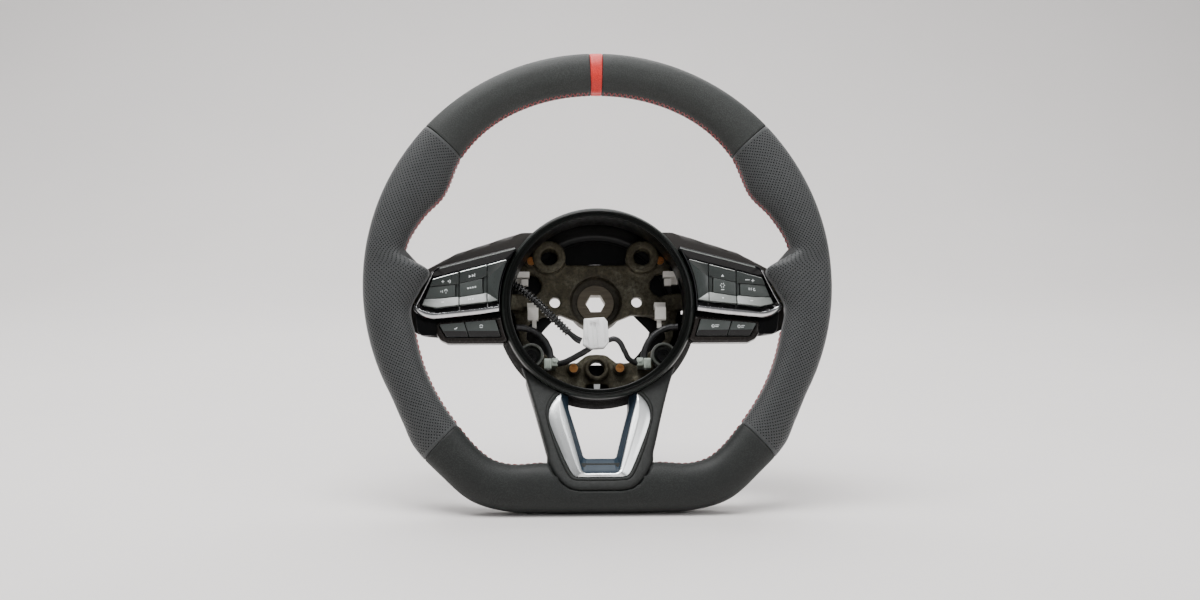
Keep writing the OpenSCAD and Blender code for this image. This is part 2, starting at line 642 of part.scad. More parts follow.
armature();
rim_core();
hub_insert();
rim_foam();
top_leather_left();
top_leather_right();
centre_stripe();
grip_leather_left();
grip_leather_right();
bottom_leather();
hub_bezel();
back_cover();
rear_plate();
left_spoke_back();
right_spoke_back();
lower_spoke_cover();
lower_spoke_back();
v_trim();
v_trim_liner();
left_switch_frame();
right_switch_frame();
left_chrome_trim();
right_chrome_trim();
left_blank_panel();
right_blank_panel();
left_outer_rocker();
right_outer_rocker();
left_inner_rocker();
right_inner_rocker();
left_outer_key();
right_outer_key();
left_inner_key();
right_inner_key();
left_lower_frame();
right_lower_frame();
left_lower_outer_key();
right_lower_outer_key();
left_lower_inner_key();
right_lower_inner_key();
left_switch_board();
right_switch_board();
left_key_mat();
right_key_mat();
module_clips();
frame_screws();
bezel_screws();
cover_screws();
switch_plugs();
centre_clip();
main_connector();
left_branch_connector();
right_branch_connector();
conduit();
left_lead();
right_lead();
left_arc_cable();
right_arc_cable();
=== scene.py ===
"""Flat-bottomed leather steering wheel with its centre module out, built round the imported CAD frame."""
import json
import math

import bmesh
import bpy
import numpy as np
from mathutils import Matrix, Vector

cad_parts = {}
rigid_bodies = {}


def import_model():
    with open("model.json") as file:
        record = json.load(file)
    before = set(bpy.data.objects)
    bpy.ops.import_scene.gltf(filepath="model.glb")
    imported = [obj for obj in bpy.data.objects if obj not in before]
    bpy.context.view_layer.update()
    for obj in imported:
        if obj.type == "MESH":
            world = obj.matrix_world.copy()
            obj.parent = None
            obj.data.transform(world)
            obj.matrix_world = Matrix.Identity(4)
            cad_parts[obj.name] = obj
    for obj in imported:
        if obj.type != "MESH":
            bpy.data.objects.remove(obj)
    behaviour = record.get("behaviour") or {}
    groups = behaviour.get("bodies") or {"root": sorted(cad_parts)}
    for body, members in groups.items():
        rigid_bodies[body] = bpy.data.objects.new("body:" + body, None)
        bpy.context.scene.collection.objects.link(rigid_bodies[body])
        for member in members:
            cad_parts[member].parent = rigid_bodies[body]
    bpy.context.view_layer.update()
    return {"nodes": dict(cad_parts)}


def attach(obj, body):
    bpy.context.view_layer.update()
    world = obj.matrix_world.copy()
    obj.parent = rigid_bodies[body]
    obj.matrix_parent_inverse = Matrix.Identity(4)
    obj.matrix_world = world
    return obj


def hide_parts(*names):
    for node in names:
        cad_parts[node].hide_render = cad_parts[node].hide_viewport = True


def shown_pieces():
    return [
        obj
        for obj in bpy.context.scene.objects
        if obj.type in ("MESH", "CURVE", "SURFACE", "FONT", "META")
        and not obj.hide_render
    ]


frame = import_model()
MM = 0.001
SIDES = (("left", -1), ("right", 1))


def linked(name, data):
    """A new object in the scene."""
    obj = bpy.data.objects.new(name, data)
    bpy.context.scene.collection.objects.link(obj)
    return obj


# ---------------------------------------------------------------- camera
RIM_Y, RIM_Z = -76.0, 7.0                # depth and height of the rim's middle
cam_azimuth, cam_elevation, cam_distance = math.radians(-2.2), math.radians(-10.8), 1.45
away = Vector((math.sin(cam_azimuth) * math.cos(cam_elevation),
               -math.cos(cam_azimuth) * math.cos(cam_elevation), math.sin(cam_elevation)))
target = Vector((0, RIM_Y * MM, RIM_Z * MM))
camera = bpy.context.scene.camera = linked("camera", bpy.data.cameras.new("camera"))
look = -away
right = look.cross(Vector((0, 0, 1))).normalized()
up = right.cross(look)
roll = math.radians(0.65)
right, up = right * math.cos(roll) - up * math.sin(roll), right * math.sin(roll) + up * math.cos(roll)
camera.matrix_world = Matrix.Translation(target + away * cam_distance) @ Matrix(
    (right, up, -look)).transposed().to_4x4()
camera.data.lens = 55.3
camera.data.shift_x, camera.data.shift_y = 0.0015, -0.0162
camera.data.clip_start, camera.data.clip_end = 0.05, 60


# ---------------------------------------------------------------- materials
M = {}                                   # every material under its name


class Nodes:
    """A small builder for one material's node tree."""

    def __init__(self, name):
        self.mat = M[name] = bpy.data.materials.new(name)
        self.mat.use_nodes = True
        self.tree = self.mat.node_tree
        self.shader = next(n for n in self.tree.nodes if n.type == "BSDF_PRINCIPLED")
        self.coord = self.tree.nodes.new("ShaderNodeTexCoord").outputs["Object"]

    def add(self, kind, **values):
        node = self.tree.nodes.new(kind)
        for key, value in values.items():
            if hasattr(node, key) and key not in node.inputs:
                setattr(node, key, value)
            else:
                node.inputs[key].default_value = value
        return node

    def link(self, a, b):
        self.tree.links.new(a, b)

    def set(self, **values):
        for key, value in values.items():
            self.shader.inputs[key.replace("_", " ")].default_value = value

    def scaled(self, stretch):
        node = self.add("ShaderNodeMapping")
        node.inputs["Scale"].default_value = stretch
        self.link(self.coord, node.inputs["Vector"])
        return node.outputs["Vector"]

    def noise(self, scale, detail=3.0, rough=0.55, stretch=None):
        node = self.add("ShaderNodeTexNoise", Scale=scale, Detail=detail, Roughness=rough)
        self.link(self.scaled(stretch) if stretch else self.coord, node.inputs["Vector"])
        return node.outputs["Fac"]

    def cells(self, scale):
        node = self.add("ShaderNodeTexVoronoi", feature="F1", Scale=scale)
        self.link(self.coord, node.inputs["Vector"])
        return node.outputs["Distance"]

    def remap(self, value, a, b, c, d):
        node = self.add("ShaderNodeMapRange")
        for key, number in (("From Min", a), ("From Max", b), ("To Min", c), ("To Max", d)):
            node.inputs[key].default_value = number
        self.link(value, node.inputs["Value"])
        return node.outputs["Result"]

    def math(self, op, a, b):
        node = self.add("ShaderNodeMath", operation=op)
        for i, v in enumerate((a, b)):
            if isinstance(v, (int, float)):
                node.inputs[i].default_value = v
            else:
                self.link(v, node.inputs[i])
        return node.outputs[0]

    def ramp(self, value, stops):
        node = self.add("ShaderNodeValToRGB")
        points = node.color_ramp.elements
        while len(points) < len(stops):
            points.new(0.5)
        for point, (place, colour) in zip(points, stops):
            point.position = place
            point.color = (*colour, 1)
        self.link(value, node.inputs["Fac"])
        return node.outputs["Color"]

    def mix(self, factor, a, b):
        node = self.add("ShaderNodeMix", data_type="RGBA")
        self.link(factor, node.inputs["Factor"])
        for v, key in ((a, 6), (b, 7)):
            if isinstance(v, tuple):
                node.inputs[key].default_value = (*v, 1)
            else:
                self.link(v, node.inputs[key])
        return node.outputs[2]

    def bump(self, height, distance, strength=1.0, after=None):
        node = self.add("ShaderNodeBump", Strength=strength, Distance=distance)
        self.link(height, node.inputs["Height"])
        if after:
            self.link(after, node.inputs["Normal"])
        return node.outputs["Normal"]

    def finish(self, colour=None, rough=None, normal=None):
        for value, key in ((colour, "Base Color"), (rough, "Roughness"), (normal, "Normal")):
            if value is not None:
                self.link(value, self.shader.inputs[key])


def leather(name, dark, light, grain=1100, depth=0.00018, rough=(0.42, 0.6), sheen=0.12, specular=0.42):
    n = Nodes(name)
    n.set(Metallic=0.0, Sheen_Weight=sheen, Sheen_Roughness=0.5, Specular_IOR_Level=specular)
    patches = n.noise(38, 4)
    pebbles = n.cells(grain)
    fine = n.noise(2600, 2)
    colour = n.ramp(patches, [(0.3, dark), (0.72, light)])
    # Painted shade: the colour darkens in the creases between the grain's pebbles.
    crease_shade = n.remap(pebbles, 0.0, 0.6, 0.0, 1.0)
    shade = n.mix(crease_shade, colour, tuple(0.72 * c for c in dark))
    height = n.math("ADD", n.math("MULTIPLY", pebbles, -0.8), n.math("MULTIPLY", fine, 0.3))
    soft = n.bump(n.noise(160, 3), 0.0006, 0.25)
    n.finish(shade, n.remap(patches, 0.25, 0.75, *rough), n.bump(height, depth, 0.6, soft))


def plastic(name, dark, light, rough, coat=0.0, scale=300, depth=0.0, grain=1500, metal=0.0,
            specular=0.5, cloud=24, wave=0.12):
    n = Nodes(name)
    n.set(Metallic=metal, Coat_Weight=coat, Coat_Roughness=0.04, Specular_IOR_Level=specular)
    clouds = n.noise(cloud, 4)
    specks = n.noise(scale, 5, 0.65)
    colour = n.mix(n.remap(specks, 0.35, 0.7, 0.0, 1.0), n.ramp(clouds, [(0.3, dark), (0.7, light)]), dark)
    normal = None
    if depth:
        height = n.math("ADD", n.cells(grain), n.math("MULTIPLY", n.noise(grain * 1.7, 2), 0.6))
        normal = n.bump(height, depth, 0.7)
    else:
        normal = n.bump(n.noise(90, 2), 0.00025, wave)
    n.finish(colour, n.remap(specks, 0.3, 0.7, *rough), normal)


def cast_metal(name):
    """As-cast magnesium with a brown-green passivation, darker in the pits, and painted shade round the hub's
    recessed dish.
    """
    n = Nodes(name)
    n.set(Metallic=0.35, Specular_IOR_Level=0.45)
    stains = n.noise(46, 5, 0.7)
    mottle = n.noise(420, 5, 0.75)
    pits = n.cells(700)
    tones = n.ramp(stains, [(0.28, (0.034, 0.029, 0.016)), (0.48, (0.078, 0.068, 0.040)),
                            (0.62, (0.125, 0.118, 0.082)), (0.8, (0.22, 0.215, 0.17))])
    colour = n.mix(n.remap(mottle, 0.42, 0.62, 0.0, 0.75), tones, (0.032, 0.026, 0.017))
    split = n.add("ShaderNodeSeparateXYZ")
    n.link(n.coord, split.inputs[0])
    away = n.math("SQRT", n.math("ADD", n.math("MULTIPLY", split.outputs[0], split.outputs[0]),
                                 n.math("MULTIPLY", split.outputs[2], split.outputs[2])), 0)
    # Painted shade: the casting darkens inside 24 mm of the hub's axis, fully inside 19 mm, in the recessed
    # dish.
    colour = n.mix(n.remap(away, 0.019, 0.024, 0.72, 0.0), colour, (0.018, 0.014, 0.010))
    height = n.math("ADD", mottle, n.math("MULTIPLY", pits, 0.5))
    n.finish(colour, n.remap(mottle, 0.3, 0.7, 0.42, 0.72), n.bump(height, 0.0006, 0.55))


def brushed(name, dark, light, rough, stretch=(1, 1, 40), metal=1.0):
    n = Nodes(name)
    n.set(Metallic=metal, Coat_Weight=0.0, Coat_Roughness=0.08)
    streaks = n.noise(60, 4, 0.6, stretch)
    specks = n.noise(2400, 2)
    colour = n.ramp(streaks, [(0.3, dark), (0.7, light)])
    height = n.math("ADD", n.math("MULTIPLY", streaks, 0.5), specks)
    n.finish(colour, n.remap(streaks, 0.3, 0.7, *rough), n.bump(height, 0.00003, 0.5))


leather("smooth_leather", (0.041, 0.044, 0.042), (0.060, 0.064, 0.061), rough=(0.5, 0.62), sheen=0.02,
        specular=0.24)
# The bottom panel's leather: the same leather as smooth_leather, made darker as painted shade.
leather("lower_leather", (0.023, 0.025, 0.024), (0.036, 0.040, 0.038), rough=(0.5, 0.62), sheen=0.02,
        specular=0.24)
leather("perforated_leather", (0.044, 0.047, 0.048), (0.062, 0.066, 0.067), rough=(0.5, 0.66), sheen=0.2)
# Near-black inside the perforations: painted shade in the holes.
plastic("perforation_painted_shade", (0.001, 0.001, 0.001), (0.002, 0.002, 0.002), (0.8, 0.95), specular=0.05)
leather("red_leather", (0.80, 0.030, 0.022), (0.92, 0.050, 0.036), rough=(0.4, 0.52))
leather("red_thread", (0.36, 0.008, 0.012), (0.62, 0.02, 0.03), grain=4200, depth=0.0001, rough=(0.55, 0.7),
        sheen=0.4)
plastic("gloss_black", (0.003, 0.003, 0.0035), (0.005, 0.005, 0.006), (0.1, 0.15), specular=0.28)
plastic("satin_black", (0.014, 0.013, 0.012), (0.022, 0.020, 0.018), (0.38, 0.52), depth=0.00008, grain=1900)
plastic("ring_black", (0.003, 0.0035, 0.003), (0.005, 0.0055, 0.005), (0.2, 0.24), cloud=8, specular=0.17,
        wave=0.02)
# A lighter grey for the ring's rounded outer edge: painted highlight.
plastic("ring_edge_painted_highlight", (0.018, 0.021, 0.019), (0.027, 0.031, 0.028), (0.32, 0.38), cloud=8, specular=0.24,
        wave=0.02)
plastic("wing_brown", (0.016, 0.013, 0.011), (0.026, 0.021, 0.017), (0.42, 0.55), depth=0.0001, grain=1500)
plastic("textured_grey", (0.013, 0.014, 0.013), (0.021, 0.023, 0.022), (0.5, 0.62), depth=0.00016,
        grain=1300, specular=0.26)
plastic("satin_silver", (0.82, 0.84, 0.84), (0.85, 0.87, 0.87), (0.27, 0.29), metal=0.9, scale=40, cloud=6)
plastic("liner", (0.018, 0.032, 0.048), (0.024, 0.042, 0.062), (0.4, 0.48), scale=40, specular=0.22)
brushed("dark_chrome", (0.52, 0.52, 0.53), (0.66, 0.66, 0.67), (0.08, 0.15), stretch=(8, 1, 1))
plastic("brown_plastic", (0.012, 0.010, 0.009), (0.019, 0.016, 0.014), (0.2, 0.32), specular=0.3)
plastic("key_plastic", (0.028, 0.033, 0.031), (0.040, 0.046, 0.044), (0.26, 0.34), depth=0.00002, grain=2600)
plastic("key_light", (0.046, 0.053, 0.050), (0.060, 0.068, 0.065), (0.3, 0.38), depth=0.00002, grain=2600)
# A pale grey for the keys' lower facets and the pod frame's top edge line: painted highlight.
plastic("painted_highlight_grey", (0.16, 0.175, 0.165), (0.21, 0.225, 0.215), (0.3, 0.36), specular=0.8)
# Bright lines along the keys' upper edges: painted highlight.
brushed("painted_highlight_line", (0.62, 0.65, 0.63), (0.74, 0.77, 0.75), (0.16, 0.26), stretch=(8, 1, 1))
plastic("tab_grey", (0.055, 0.060, 0.052), (0.085, 0.092, 0.080), (0.35, 0.5), depth=0.0001, grain=1500)
plastic("bowl_black", (0.005, 0.0042, 0.0036), (0.009, 0.0075, 0.0062), (0.75, 0.9), depth=0.0003,
        grain=1700, specular=0.14)
# Near-black for the hub's hollow inner walls, webs and rear plate: painted shade.
plastic("pit_black", (0.0015, 0.0015, 0.0015), (0.003, 0.003, 0.0028), (0.3, 0.45), specular=0.25)
plastic("glyph", (0.62, 0.66, 0.66), (0.78, 0.82, 0.82), (0.4, 0.5))
cast_metal("cast_magnesium")
brushed("bright_steel", (0.42, 0.42, 0.41), (0.62, 0.62, 0.61), (0.2, 0.34))
brushed("dark_steel", (0.10, 0.085, 0.06), (0.20, 0.17, 0.13), (0.38, 0.55), metal=0.7)
brushed("copper_screw", (0.50, 0.20, 0.06), (0.78, 0.38, 0.14), (0.26, 0.42))
brushed("black_screw", (0.012, 0.012, 0.012), (0.03, 0.03, 0.03), (0.3, 0.45), metal=0.8)
plastic("pale_plug", (0.66, 0.64, 0.59), (0.80, 0.78, 0.73), (0.35, 0.5))
plastic("white_nylon", (0.90, 0.90, 0.90), (0.94, 0.94, 0.94), (0.3, 0.42))
plastic("grey_green_nylon", (0.36, 0.41, 0.36), (0.50, 0.55, 0.49), (0.3, 0.45))
plastic("conduit_black", (0.005, 0.005, 0.005), (0.009, 0.009, 0.009), (0.14, 0.2), coat=0.5, specular=0.9)
# Lighter grey on the conduit's rib crests: painted highlight.
plastic("conduit_crest_painted_highlight", (0.030, 0.031, 0.031), (0.045, 0.046, 0.046), (0.2, 0.28))
plastic("tape_black", (0.009, 0.009, 0.010), (0.018, 0.018, 0.018), (0.34, 0.5), depth=0.0002, grain=900)
plastic("board_green", (0.008, 0.055, 0.024), (0.014, 0.085, 0.04), (0.3, 0.42))
plastic("silicone", (0.15, 0.16, 0.16), (0.2, 0.21, 0.22), (0.5, 0.62))
plastic("foam", (0.03, 0.03, 0.03), (0.05, 0.05, 0.05), (0.8, 0.95), depth=0.0004, grain=700)


# ---------------------------------------------------------------- mesh helpers
HUB = np.array([0.0, -9.0])              # the hub ring's centre, as x and z


def raw_mesh(name, verts, faces):
    """A mesh from points in millimetres."""
    mesh = bpy.data.meshes.new(name)
    mesh.from_pydata((np.asarray(verts, float) * MM).tolist(), [], [list(map(int, f)) for f in faces])
    return mesh


def face_outwards(mesh):
    work = bmesh.new()
    work.from_mesh(mesh)
    bmesh.ops.recalc_face_normals(work, faces=work.faces)
    work.to_mesh(mesh)
    work.free()


def piece(name, verts, faces, mats, body="root", stands_for=(), slot=None, sharp=38, indices=None):
    """A mesh piece from millimetre points, riding on a CAD body."""
    mesh = raw_mesh(name, verts, faces)
    mats = [mats] if isinstance(mats, str) else mats
    for m in mats:
        mesh.materials.append(M[m])
    if indices is not None:
        mesh.polygons.foreach_set("material_index", np.asarray(indices, np.int32))
    mesh.polygons.foreach_set("use_smooth", np.ones(len(mesh.polygons), bool))
    mesh.validate()
    face_outwards(mesh)
    mesh.set_sharp_from_angle(angle=math.radians(sharp))
    obj = linked(name, mesh)
    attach(obj, body)
    if stands_for:
        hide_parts(*stands_for)
    return obj


class Build:
    """Collects closed shapes, each with a material index, into one list of points and faces."""

    def __init__(self):
        self.verts, self.faces, self.ids, self.count = [], [], [], 0

    def add(self, verts, faces, index=0):
        verts = np.asarray(verts, float).reshape(-1, 3)
        self.faces += [[int(i) + self.count for i in f] for f in faces]
        self.ids += [index] * len(faces) if np.isscalar(index) else list(index)
        self.verts.append(verts)
        self.count += len(verts)
        return self

    def join(self, other, index):
        return self.add(np.concatenate(other.verts), other.faces, index)

    def mirrored(self, sign):
        points = np.concatenate(self.verts)
        return points * np.array([sign, 1, 1])

    def piece(self, name, mats, sign=1, **kw):
        return piece(name, self.mirrored(sign), self.faces, mats, indices=self.ids, **kw)


def loft(loops, closed=False):
    """Faces between matching closed loops of points. Closed joins the last loop to the first."""
    k, n = len(loops), len(loops[0])
    faces = []
    for i in range(k if closed else k - 1):
        a, b = i * n, ((i + 1) % k) * n
        faces += [[a + j, a + (j + 1) % n, b + (j + 1) % n, b + j] for j in range(n)]
    if not closed:
        faces += [list(range(n))[::-1], [(k - 1) * n + j for j in range(n)]]
    return np.concatenate([np.asarray(l, float) for l in loops]), faces


def fillet(points, radius, steps=4):
    """A polygon with its corners rounded, by as much of radius as each corner has room for."""
    pts = np.asarray(points, float)
    n = len(pts)
    radii = [radius] * n if np.isscalar(radius) else radius
    out = []
    for i in range(n):
        p, a, b = pts[i], pts[i - 1] - pts[i], pts[(i + 1) % n] - pts[i]
        la, lb = np.linalg.norm(a), np.linalg.norm(b)
        a, b = a / la, b / lb
        half = math.acos(np.clip(a @ b, -1, 1)) / 2
        cut = min(radii[i] / max(math.tan(half), 1e-6), 0.48 * la, 0.48 * lb)
        if radii[i] <= 0 or half > 1.55:
            out.append(p)
            continue
        start, end = p + a * cut, p + b * cut
        for s in np.linspace(0, 1, steps + 1):
            out.append((1 - s) ** 2 * start + 2 * s * (1 - s) * p + s * s * end)
    return np.array(out)


def inset(points, d):
    """A polygon moved inwards by d, outwards where d is negative."""
    p = np.asarray(points, float)
    area = 0.5 * np.sum(p[:, 0] * np.roll(p[:, 1], -1) - np.roll(p[:, 0], -1) * p[:, 1])
    e = np.roll(p, -1, 0) - p
    e /= np.maximum(np.linalg.norm(e, axis=1, keepdims=True), 1e-9)
    normal = np.stack([-e[:, 1], e[:, 0]], 1) * (1 if area > 0 else -1)
    before = np.roll(normal, 1, 0)
    total = normal + before
    total /= np.maximum(np.sum(total * total, axis=1, keepdims=True) / 2, 0.35)
    return p + d * total


def at_depth(points, y):
    """Outline points in X and Z as 3-D points; y is a number or a function of x and z."""
    p = np.asarray(points, float)
    depth = (y(p[:, 0], p[:, 1]) if callable(y) else y) + np.zeros(len(p))
    return np.stack([p[:, 0], depth, p[:, 1]], 1)


def plate(outline, front, back, radius=0.4, steps=3):
    """A plate with a rounded front edge. front and back are depths or functions of x and z."""
    loops = [at_depth(outline, back)]
    for s in np.linspace(0, math.pi / 2, steps + 1):
        ring = inset(outline, radius * (1 - math.cos(s)))
        loops.append(at_depth(ring, front) + [0, radius * (1 - math.sin(s)), 0])
    return loft(loops)


def ray_radius(poly, centre, angles):
    """Distance from centre to a star-shaped polygon's outline, at each angle."""
    p = np.asarray(poly, float) - centre
    q = np.roll(p, -1, 0)
    out = np.zeros(len(angles))
    for k, a in enumerate(angles):
        u = np.array([math.cos(a), math.sin(a)])
        d = q - p
        det = u[0] * -d[:, 1] + u[1] * d[:, 0]
        det[np.abs(det) < 1e-12] = 1e-12
        t = (p[:, 0] * -d[:, 1] + p[:, 1] * d[:, 0]) / det
        s = (u[0] * p[:, 1] - u[1] * p[:, 0]) / det
        ok = (t > 0) & (s >= -1e-9) & (s <= 1 + 1e-9)
        out[k] = t[ok].max() if ok.any() else 0
    return out


def circle_hit(centre, angles, middle, radius):
    """Distance from centre along each angle to a circle outside which centre lies; far where it misses."""
    out = np.full(len(angles), 1e6)
    rel = np.asarray(centre, float) - middle
    for k, a in enumerate(angles):
        u = np.array([math.cos(a), math.sin(a)])
        b, c = rel @ u, rel @ rel - radius * radius
        root = b * b - c
        if root > 0 and -b - math.sqrt(root) > 0:
            out[k] = -b - math.sqrt(root)
    return out


def polar_loop(centre, angles, radii):
    return np.stack([centre[0] + radii * np.cos(angles), centre[1] + radii * np.sin(angles)], 1)


def lathe(profile, segments=256, centre=HUB):
    """A closed profile of radius and depth, turned about the hub ring's axis."""
    loops = []
    for k in range(segments):
        a = 2 * math.pi * k / segments
        loops.append([(centre[0] + r * math.cos(a), y, centre[1] + r * math.sin(a)) for r, y in profile])
    return loft(loops, closed=True)


def tubes(paths, radius, sides=6):
    """Round tubes along many paths, each an array of points. radius is a number or one for each point."""
    build = Build()
    for path in paths:
        p = np.asarray(path, float)
        d = unit(np.gradient(p, axis=0))
        ref = np.array([0.0, 1.0, 0.0]) if abs(d[0][1]) < 0.9 else np.array([1.0, 0.0, 0.0])
        rings = []
        for i in range(len(p)):
            u = ref - d[i] * (ref @ d[i])
            u /= np.linalg.norm(u)
            ref = u
            v = np.cross(d[i], u)
            r = radius if np.isscalar(radius) else radius[i]
            a = 2 * math.pi * np.arange(sides) / sides
            rings.append(p[i] + r * (np.outer(np.cos(a), u) + np.outer(np.sin(a), v)))
        build.add(*loft(rings))
    return build


def unit(rows):
    return rows / np.linalg.norm(rows, axis=1, keepdims=True)


def running(points):
    """Length along a line of points up to each of them."""
    return np.concatenate([[0], np.cumsum(np.linalg.norm(np.diff(points, axis=0), axis=1))])


def smooth_path(route, count):
    """Evenly spaced points on a Catmull-Rom curve through a route."""
    p = np.asarray(route, float)
    p = np.vstack([2 * p[0] - p[1], p, 2 * p[-1] - p[-2]])
    fine = []
    for i in range(1, len(p) - 2):
        for t in np.linspace(0, 1, 24, endpoint=False):
            a, b, c, d = p[i - 1], p[i], p[i + 1], p[i + 2]
            fine.append(0.5 * (2 * b + (c - a) * t + (2 * a - 5 * b + 4 * c - d) * t ** 2
                               + (3 * b - a - 3 * c + d) * t ** 3))
    fine.append(p[-2])
    fine = np.array(fine)
    run = running(fine)
    at = np.linspace(0, run[-1], count)
    return np.stack([np.interp(at, run, fine[:, k]) for k in range(3)], 1)


def flat_path(line, count):
    """Evenly spaced points on a smooth curve through points in X and Z."""
    return smooth_path([(x, 0, z) for x, z in line], count)


def path_length(points):
    return float(np.linalg.norm(np.diff(np.asarray(points), axis=0), axis=1).sum())


def cut(obj, *cutters):
    """Takes boxes and prisms out of a piece."""
    for verts, faces in cutters:
        mesh = raw_mesh("cutter", verts, faces)
        face_outwards(mesh)
        tool = linked("cutter", mesh)
        mod = obj.modifiers.new("cut", "BOOLEAN")
        mod.operation, mod.object, mod.solver = "DIFFERENCE", tool, "EXACT"
        graph = bpy.context.evaluated_depsgraph_get()
        made = bpy.data.meshes.new_from_object(obj.evaluated_get(graph))
        obj.modifiers.remove(mod)
        old = obj.data
        obj.data = made
        bpy.data.meshes.remove(old)
        bpy.data.objects.remove(tool)
        bpy.data.meshes.remove(mesh)
    obj.data.set_sharp_from_angle(angle=math.radians(38))
    return obj


def box_shape(x, y, z):
    outline = [(x[0], z[0]), (x[1], z[0]), (x[1], z[1]), (x[0], z[1])]
    return loft([at_depth(outline, y[0]), at_depth(outline, y[1])])


# ---------------------------------------------------------------- harness
def route_path(route, count, sign=1):
    return smooth_path([(sign * x, y, z) for x, y, z in route], count)


def metres(path):
    return [tuple(float(v) for v in p * MM) for p in path]


def cord(obj, path):
    metres(path[:1])[0]
    path_length(path) * MM
    metres(path)


# Corrugated conduit over the first four fifths, then the bare wires into the main connector
CONDUIT = [(-66, -50, 8.5), (-58, -52, 3), (-49, -53, -5), (-40, -54, -14), (-31, -54, -23), (-24, -54, -30),
           (-17.4, -54, -35.5), (-13.2, -54, -37.6)]
conduit_path = route_path(CONDUIT, 30)
ribbed = smooth_path(CONDUIT, 340)[:282]
run = running(ribbed)
RIB_PITCH = 2.9
wave = 0.5 + 0.5 * np.cos(2 * math.pi * run / RIB_PITCH)
rib_radius = 2.35 + 1.05 * np.clip(wave * 1.5 - 0.25, 0, 1) ** 0.8
shape = tubes([ribbed], rib_radius, 28)
# Painted highlight: the rib crests take a lighter grey than the rest of the conduit.
crest_highlight_mask = np.minimum(rib_radius[:-1], rib_radius[1:]) > 3.15
shape.ids = np.repeat(np.where(crest_highlight_mask, 2, 0), 28).tolist() + [0, 0]
wires = route_path(CONDUIT, 120)[94:]
d = unit(np.gradient(wires, axis=0))
side_a = unit(np.cross(d, [0, 1, 0]))
side_b = np.cross(d, side_a)
spread = np.linspace(1.7, 2.7, len(wires))[:, None]
strands = []
for k in range(7):
    a = 2 * math.pi * k / 6 + 0.3
    reach = 0.0 if k == 6 else 1.0
    wobble = 0.5 * np.sin(np.linspace(0, 3 + k, len(wires)) + k)[:, None]
    around = math.cos(a) * side_a + math.sin(a) * side_b
    strands.append(wires + reach * spread * around * (0.75 + 0.2 * wobble))
thin = tubes(strands, 0.62, 10)
shape.join(thin, 1)
conduit = shape.piece("harness_conduit", ["conduit_black", "tape_black", "conduit_crest_painted_highlight"],
                      stands_for=["conduit"], slot="cable_black")


TAPE_PITCH, LEAD_SIDES = 7.0, 24


def lead(name, node, route, radius, sign=1):
    """A lead wound in cloth tape: each turn of tape ends in a small step."""
    path = route_path(route, 90, sign)
    run = running(path)
    fine = smooth_path(path, int(run[-1] * 4))           # four rings for each millimetre
    along = np.linspace(0, run[-1], len(fine))
    shape = tubes([fine], radius, LEAD_SIDES)
    points = shape.verts[0].reshape(len(fine), LEAD_SIDES, 3)
    side = np.arange(LEAD_SIDES)[None]
    turn = np.mod(along[:, None] / TAPE_PITCH + sign * side / LEAD_SIDES, 1)
    bulge = radius * (0.93 + 0.07 * turn + 0.012 * np.sin(along[:, None] * 0.9 + side))
    offset = points - fine[:, None]
    shape.verts[0] = (fine[:, None] + offset / radius * bulge[..., None]).reshape(-1, 3)
    obj = shape.piece(name, "tape_black", stands_for=[node], slot="cable_black", sharp=60)
    return obj, smooth_path(path, 24)


LEFT_LEAD = [(-4.5, -53.6, -41.6), (-8.8, -52, -44.8), (-13, -50, -47), (-20, -47, -50.5), (-26, -44.5, -53),
             (-31.3, -42, -54)]
RIGHT_LEAD = [(5, -54, -38), (8.8, -54, -37), (13, -54, -36), (17.5, -53, -38.5), (21, -50, -44.5),
              (25, -46, -51), (31.3, -42, -54)]
ARC = [(65.5, -44.5, -25), (58, -41, -25), (50, -40, -28), (43, -40, -34), (38.6, -40, -42), (37.2, -40, -50)]
NODES = frame["nodes"]


def rounded_box(x, y, z, radius=0.5):
    """A box with rounded corners and front edges."""
    outline = fillet([(x[0], z[0]), (x[1], z[0]), (x[1], z[1]), (x[0], z[1])], radius, 3)
    return plate(outline, y[0], y[1], radius, 3)


# Main connector: a tapered white housing with ribs, a latch and a split line
PLUG = [(-8, 12.2), (8, 12.2), (10.5, 8.5), (10.3, -8), (6.5, -12.2), (-4.5, -12.2), (-10.5, -8.5)]
plug = Build()
plug.add(*plate(fillet(PLUG, 1.0, 3), -5.6, 0.1, 1.1, 4))
back_verts, back_faces = plate(fillet(inset(PLUG, 0.5), 1.0, 3), -6.4, 0.0, 0.9, 3)
plug.add(back_verts * [1, -1, 1], back_faces)
PLUG_RIBS = [(-5.6, -9.5, 10.4, -6.4), (-1.6, -11, 8.4, -6.9), (1.7, -11, 8.4, -6.9), (7.4, -7.6, 9.0, -6.3)]
for x, low, high, front in PLUG_RIBS:
    plug.add(*rounded_box((x - 0.65, x + 0.65), (front, -5.2), (low, high), 0.45))
plug.add(*rounded_box((-3.4, 3.4), (-7.4, -5.2), (8.2, 11.0), 0.6))
plug.add(*rounded_box((-8.4, -6.8), (-6.9, -5.2), (-4, 3), 0.4))
points = np.concatenate(plug.verts)
turn = math.radians(-4)
c, k = math.cos(turn), math.sin(turn)
plug.verts = [np.stack([points[:, 0] * c + points[:, 2] * k - 2.2, points[:, 1] - 54,
                        -points[:, 0] * k + points[:, 2] * c - 32], 1)]
main_plug = plug.piece("main_plug", "white_nylon", stands_for=["main_connector"], slot="white_nylon")


